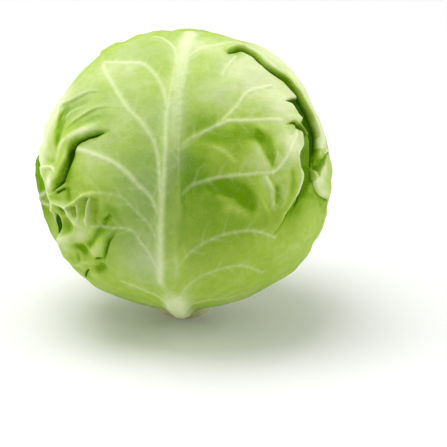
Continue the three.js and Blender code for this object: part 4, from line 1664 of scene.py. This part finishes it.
LEFT_LEAF = Leaf(
    name="leaf_left",
    azimuth=-110,
    elevation=8,
    layer=2,
    cells=(140, 140),
    reach=(84, 84, 80, 72, 66, 62, 64, 72, 86, 95, 83, 66, 58, 60, 66, 72, 78, 82),
    scallop=3.0,
    edge=Wave(12, 0.7),
    venation=Venation(LEFT_MIDRIB, (10.0, 3.2), paired_veins(5, -90, 37, 90, seed=17), seed=18),
    relief=(
        Ridge(LEFT_MIDRIB, (10.0, 3.4), (6.0, 1.0)),
        Swellings(50, 2.0, 4.1),
        Ridge(((28, 2), (34, -16), (33, -38), (26, -62)), (15, 17), (6, 4)),
        Ripples(Wave(12, 0.2), 3.0, 0.78),
        Ripples(Wave(39, 1.4), 0.9, 0.92),
        Patch((-30, 30), 40, 0.2),
        Patch((32, -18), 24, -0.6),
        Crease(((24, 8), (32, -14), (30, -36), (26, -54)), 7.0, 0.0, dark=0.4),
    ),
)

BACK_LEAF = Leaf(
    name="leaf_back",
    azimuth=184,
    elevation=5,
    layer=3,
    cells=(110, 110),
    reach=(86, 84, 76, 68, 64, 62, 64, 72, 84, 92, 84, 72, 64, 62, 64, 68, 76, 84),
    venation=Venation(BACK_MIDRIB, (9.0, 3.2), paired_veins(5, -88, 37, 88, seed=27), seed=28),
    relief=(
        Ridge(BACK_MIDRIB, (9.0, 3.6), (3.0, 1.0)),
        Swellings(48, 2.0, 5.2),
    ),
    tone=0.6,
)


def inner_leaf(name: str, azimuth: float, layer: int, seed: int) -> Leaf:
    """A paler leaf under the outer ones.

    Args:
        name: Its name.
        azimuth: That of its middle, in degrees.
        layer: How many leaves lie outside it.
        seed: Of its side veins.

    Returns:
        The leaf.
    """
    return Leaf(
        name=name, azimuth=azimuth, elevation=5, layer=layer, cells=(48, 48),
        reach=(84, 82, 76, 68, 62, 60, 62, 72, 84, 90, 84, 72, 62, 60, 62, 68, 76, 82),
        venation=Venation(INNER_MIDRIB, (8.0, 3.0), paired_veins(4, -80, 40, 84, seed), seed=seed + 1),
        relief=(Ridge(INNER_MIDRIB, (8.0, 3.0), (3.0, 1.0)),), tone=0.85, slot="inner_leaves",
    )


@dataclass
class Wrapping:
    """The leaves that wrap the head, outermost first."""

    leaves: tuple[Leaf, ...] = (
        FRONT_LEAF, RIGHT_LEAF, LEFT_LEAF, BACK_LEAF,
        inner_leaf("leaf_inner_right", 52, 4, 31), inner_leaf("leaf_inner_left", -60, 5, 33),
    )
    outer_finish: LeafFinish = LeafFinish("wrapper_leaf")
    inner_finish: LeafFinish = LeafFinish(
        "inner_leaf", deep=colour(150, 182, 84), blade=colour(190, 208, 128), pale=colour(222, 230, 176))

    def build(self) -> list[bpy.types.Object]:
        """Models every leaf under those outside it.

        Returns:
            The leaves.
        """
        pieces = []
        for i, leaf in enumerate(self.leaves):
            finish = self.inner_finish if leaf.slot == "inner_leaves" else self.outer_finish
            pieces.append(leaf.build(self.leaves[:i], finish))
        return pieces


# ---------------------------------------------------------------- stem and heart


@dataclass
class Stem:
    """The stub that the leaves grow from, with its cut face on the ground, and the core inside the head.

    The scars of the trimmed leaves run round it in slanting waves, up to scar_top.
    """

    radius: float = STEM_RADIUS
    shoulder_height: float = 33.0
    core_height: float = 96.0
    core_radius: float = 7.0
    sectors: int = 96
    ring_heights: tuple[float, ...] = (1.2, 2.5, 4, 6, 8, 10, 12, 15, 20, 26, 33)
    inset_shares: tuple[float, ...] = (0.06, 0.12, 0.16, 0.2, 0.25, 0.3)
    inset_scale: float = 0.8  # times the radius is what the insets are shares of
    edge_height: float = 1.2
    edge_rounding: float = 0.045  # how much slimmer the stem is at the cut, as a share
    scar_depth: float = 0.45
    scar_top: float = 14.0
    smooth_below: float = 40.0  # the angle between faces from which an edge stays sharp
    finish: StemFinish = StemFinish()

    def build(self) -> bpy.types.Object:
        """Models the stem from a cylinder: rings up its side, insets in its ends, a soft edge and leaf scars.

        Returns:
            The stem.
        """
        bpy.ops.object.select_all(action="DESELECT")
        bpy.ops.mesh.primitive_cylinder_add(
            vertices=self.sectors, radius=self.radius * MM, depth=self.core_height * MM, end_fill_type="NGON",
            location=(0, 0, self.core_height * MM / 2),
        )
        stem = bpy.context.object
        stem.name = stem.data.name = "stem_stub"
        bpy.ops.object.transform_apply(location=True)
        bpy.ops.object.mode_set(mode="EDIT")
        for height in self.ring_heights:
            bpy.ops.mesh.select_all(action="SELECT")
            bpy.ops.mesh.bisect(plane_co=(0, 0, height * MM), plane_no=(0, 0, 1))
        self._select_ends(stem)
        for share in self.inset_shares:
            bpy.ops.mesh.inset(thickness=share * self.radius * MM * self.inset_scale)
        bpy.ops.object.mode_set(mode="OBJECT")
        self._shape(stem.data)
        bpy.ops.object.shade_smooth_by_angle(angle=math.radians(self.smooth_below))
        stem.data.materials.append(self.finish.material())
        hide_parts("stem")
        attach(stem, "root")
        return stem

    @staticmethod
    def _select_ends(stem: bpy.types.Object) -> None:
        """Selects the two end faces.

        Args:
            stem: The stem, in edit mode.
        """
        bpy.ops.mesh.select_all(action="DESELECT")
        bpy.ops.mesh.select_mode(type="FACE")
        bpy.ops.object.mode_set(mode="OBJECT")
        for face in stem.data.polygons:
            face.select = len(face.vertices) > 4
        bpy.ops.object.mode_set(mode="EDIT")

    def _shape(self, mesh: bpy.types.Mesh) -> None:
        """Narrows the core, rounds the cut edge and raises the scars of the leaves that were trimmed.

        Args:
            mesh: The cylinder's mesh.
        """
        points = np.empty(len(mesh.vertices) * 3)
        mesh.vertices.foreach_get("co", points)
        points = points.reshape(-1, 3) / MM
        x, y, z = points.T
        turn, radius = np.arctan2(x, -y), np.hypot(x, y)
        core = np.clip((z - self.shoulder_height) / (self.core_height - self.shoulder_height), 0, 1)
        full = self.radius + (self.core_radius - self.radius) * core
        rounding = 1 - self.edge_rounding * (1 - smoothstep(0.0, self.edge_height, z))
        scar = 0.35 * np.sin(5 * turn + z * 0.35) * smoothstep(1.0, 4.0, z)
        scar = scar + 0.2 * np.sin(13 * turn - 0.6 * z)
        scarred = full * rounding - self.scar_depth + self.scar_depth * scar * (z < self.scar_top)
        radius = radius / self.radius * scarred
        points = np.stack([radius * np.sin(turn), -radius * np.cos(turn), z], 1)
        mesh.vertices.foreach_set("co", (points * MM).ravel())
        mesh.update()


@dataclass
class Heart:
    """The dense inner leaves, which stay as they are packed."""

    node: str = "inner_head"
    finish: HeartFinish = HeartFinish()

    def dress(self) -> bpy.types.Object:
        """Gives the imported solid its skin.

        Returns:
            The dressed solid.
        """
        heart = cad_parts[self.node]
        heart.data.materials.clear()
        heart.data.materials.append(self.finish.material())
        return heart


# ---------------------------------------------------------------- studio


@dataclass(frozen=True)
class Lamp:
    """A square lamp that faces the head: its place and size in metres, and its power in watts."""

    name: str
    place: Point
    size: float
    power: float

    def hang(self) -> None:
        """Hangs the lamp."""
        lamp = bpy.data.lights.new(self.name, "AREA")
        lamp.size, lamp.energy = self.size, self.power
        holder = bpy.data.objects.new(self.name, lamp)
        bpy.context.scene.collection.objects.link(holder)
        holder.location = self.place
        back = Vector(self.place) - Vector((0, 0, CENTRE_HEIGHT * MM))
        holder.rotation_euler = back.to_track_quat("Z", "Y").to_euler()


@dataclass
class Studio:
    """A pale floor, soft light from above and both sides, and a long lens that looks down at the head."""

    elevation: float = 20.0
    distance: float = 2.0
    frame_width: float = 270.0  # millimetres of the head's plane across the frame
    shift: Pair = (0.0884, -0.1063)
    sensor: float = 36.0
    floor_width: float = 8.0
    floor_colour: Colour = (0.86, 0.86, 0.86)
    ambient: float = 0.45
    lamps: tuple[Lamp, ...] = (
        Lamp("top", (-0.35, 0.15, 1.4), 1.2, 17.0),
        Lamp("left", (-1.35, -0.15, 0.75), 0.9, 5.5),
        Lamp("right", (1.35, 0.05, 0.7), 0.9, 8.5),
    )

    def build(self) -> None:
        """Sets up the floor, the light and the camera."""
        self._floor()
        self._light()
        self._camera()

    def _floor(self) -> None:
        """Lays the floor under the stem."""
        bpy.ops.object.select_all(action="DESELECT")
        bpy.ops.mesh.primitive_plane_add(size=self.floor_width)
        floor = bpy.context.object
        floor.name = "floor"
        make = NodeMaker("pale_floor")
        floor.data.materials.append(make.finish(Base_Color=self.floor_colour, Roughness=0.9))

    def _light(self) -> None:
        """Lights the head from all round, and hangs the lamps."""
        scene = bpy.context.scene
        world = bpy.data.worlds.new("studio")
        scene.world = world
        world.use_nodes = True
        backdrop = world.node_tree.nodes["Background"]
        backdrop.inputs["Color"].default_value = (1.0, 1.0, 1.0, 1.0)
        backdrop.inputs["Strength"].default_value = self.ambient
        for lamp in self.lamps:
            lamp.hang()
        scene.view_settings.view_transform = "Standard"

    def _camera(self) -> None:
        """Places the camera so that the head stands in the upper left of a square frame."""
        lens = bpy.data.cameras.new("camera")
        lens.sensor_width = self.sensor
        lens.lens = self.sensor * self.distance / (self.frame_width * MM)
        lens.shift_x, lens.shift_y = self.shift
        camera = bpy.data.objects.new("camera", lens)
        bpy.context.scene.collection.objects.link(camera)
        rise = math.radians(self.elevation)
        back = Vector((0, -math.cos(rise), math.sin(rise)))
        camera.location = Vector((0, 0, CENTRE_HEIGHT * MM)) + back * self.distance
        camera.rotation_euler = back.to_track_quat("Z", "Y").to_euler()
        bpy.context.scene.camera = camera


def main() -> None:
    """Sets up the studio, builds the leaves, the stem and the heart in order, and reports each piece."""
    logging.basicConfig(level=logging.INFO)
    Studio().build()
    for piece in (*Wrapping().build(), Stem().build(), Heart().dress()):
        log.info("%s: %d faces", piece.name, len(piece.data.polygons))


if __name__ == "__main__":
    main()
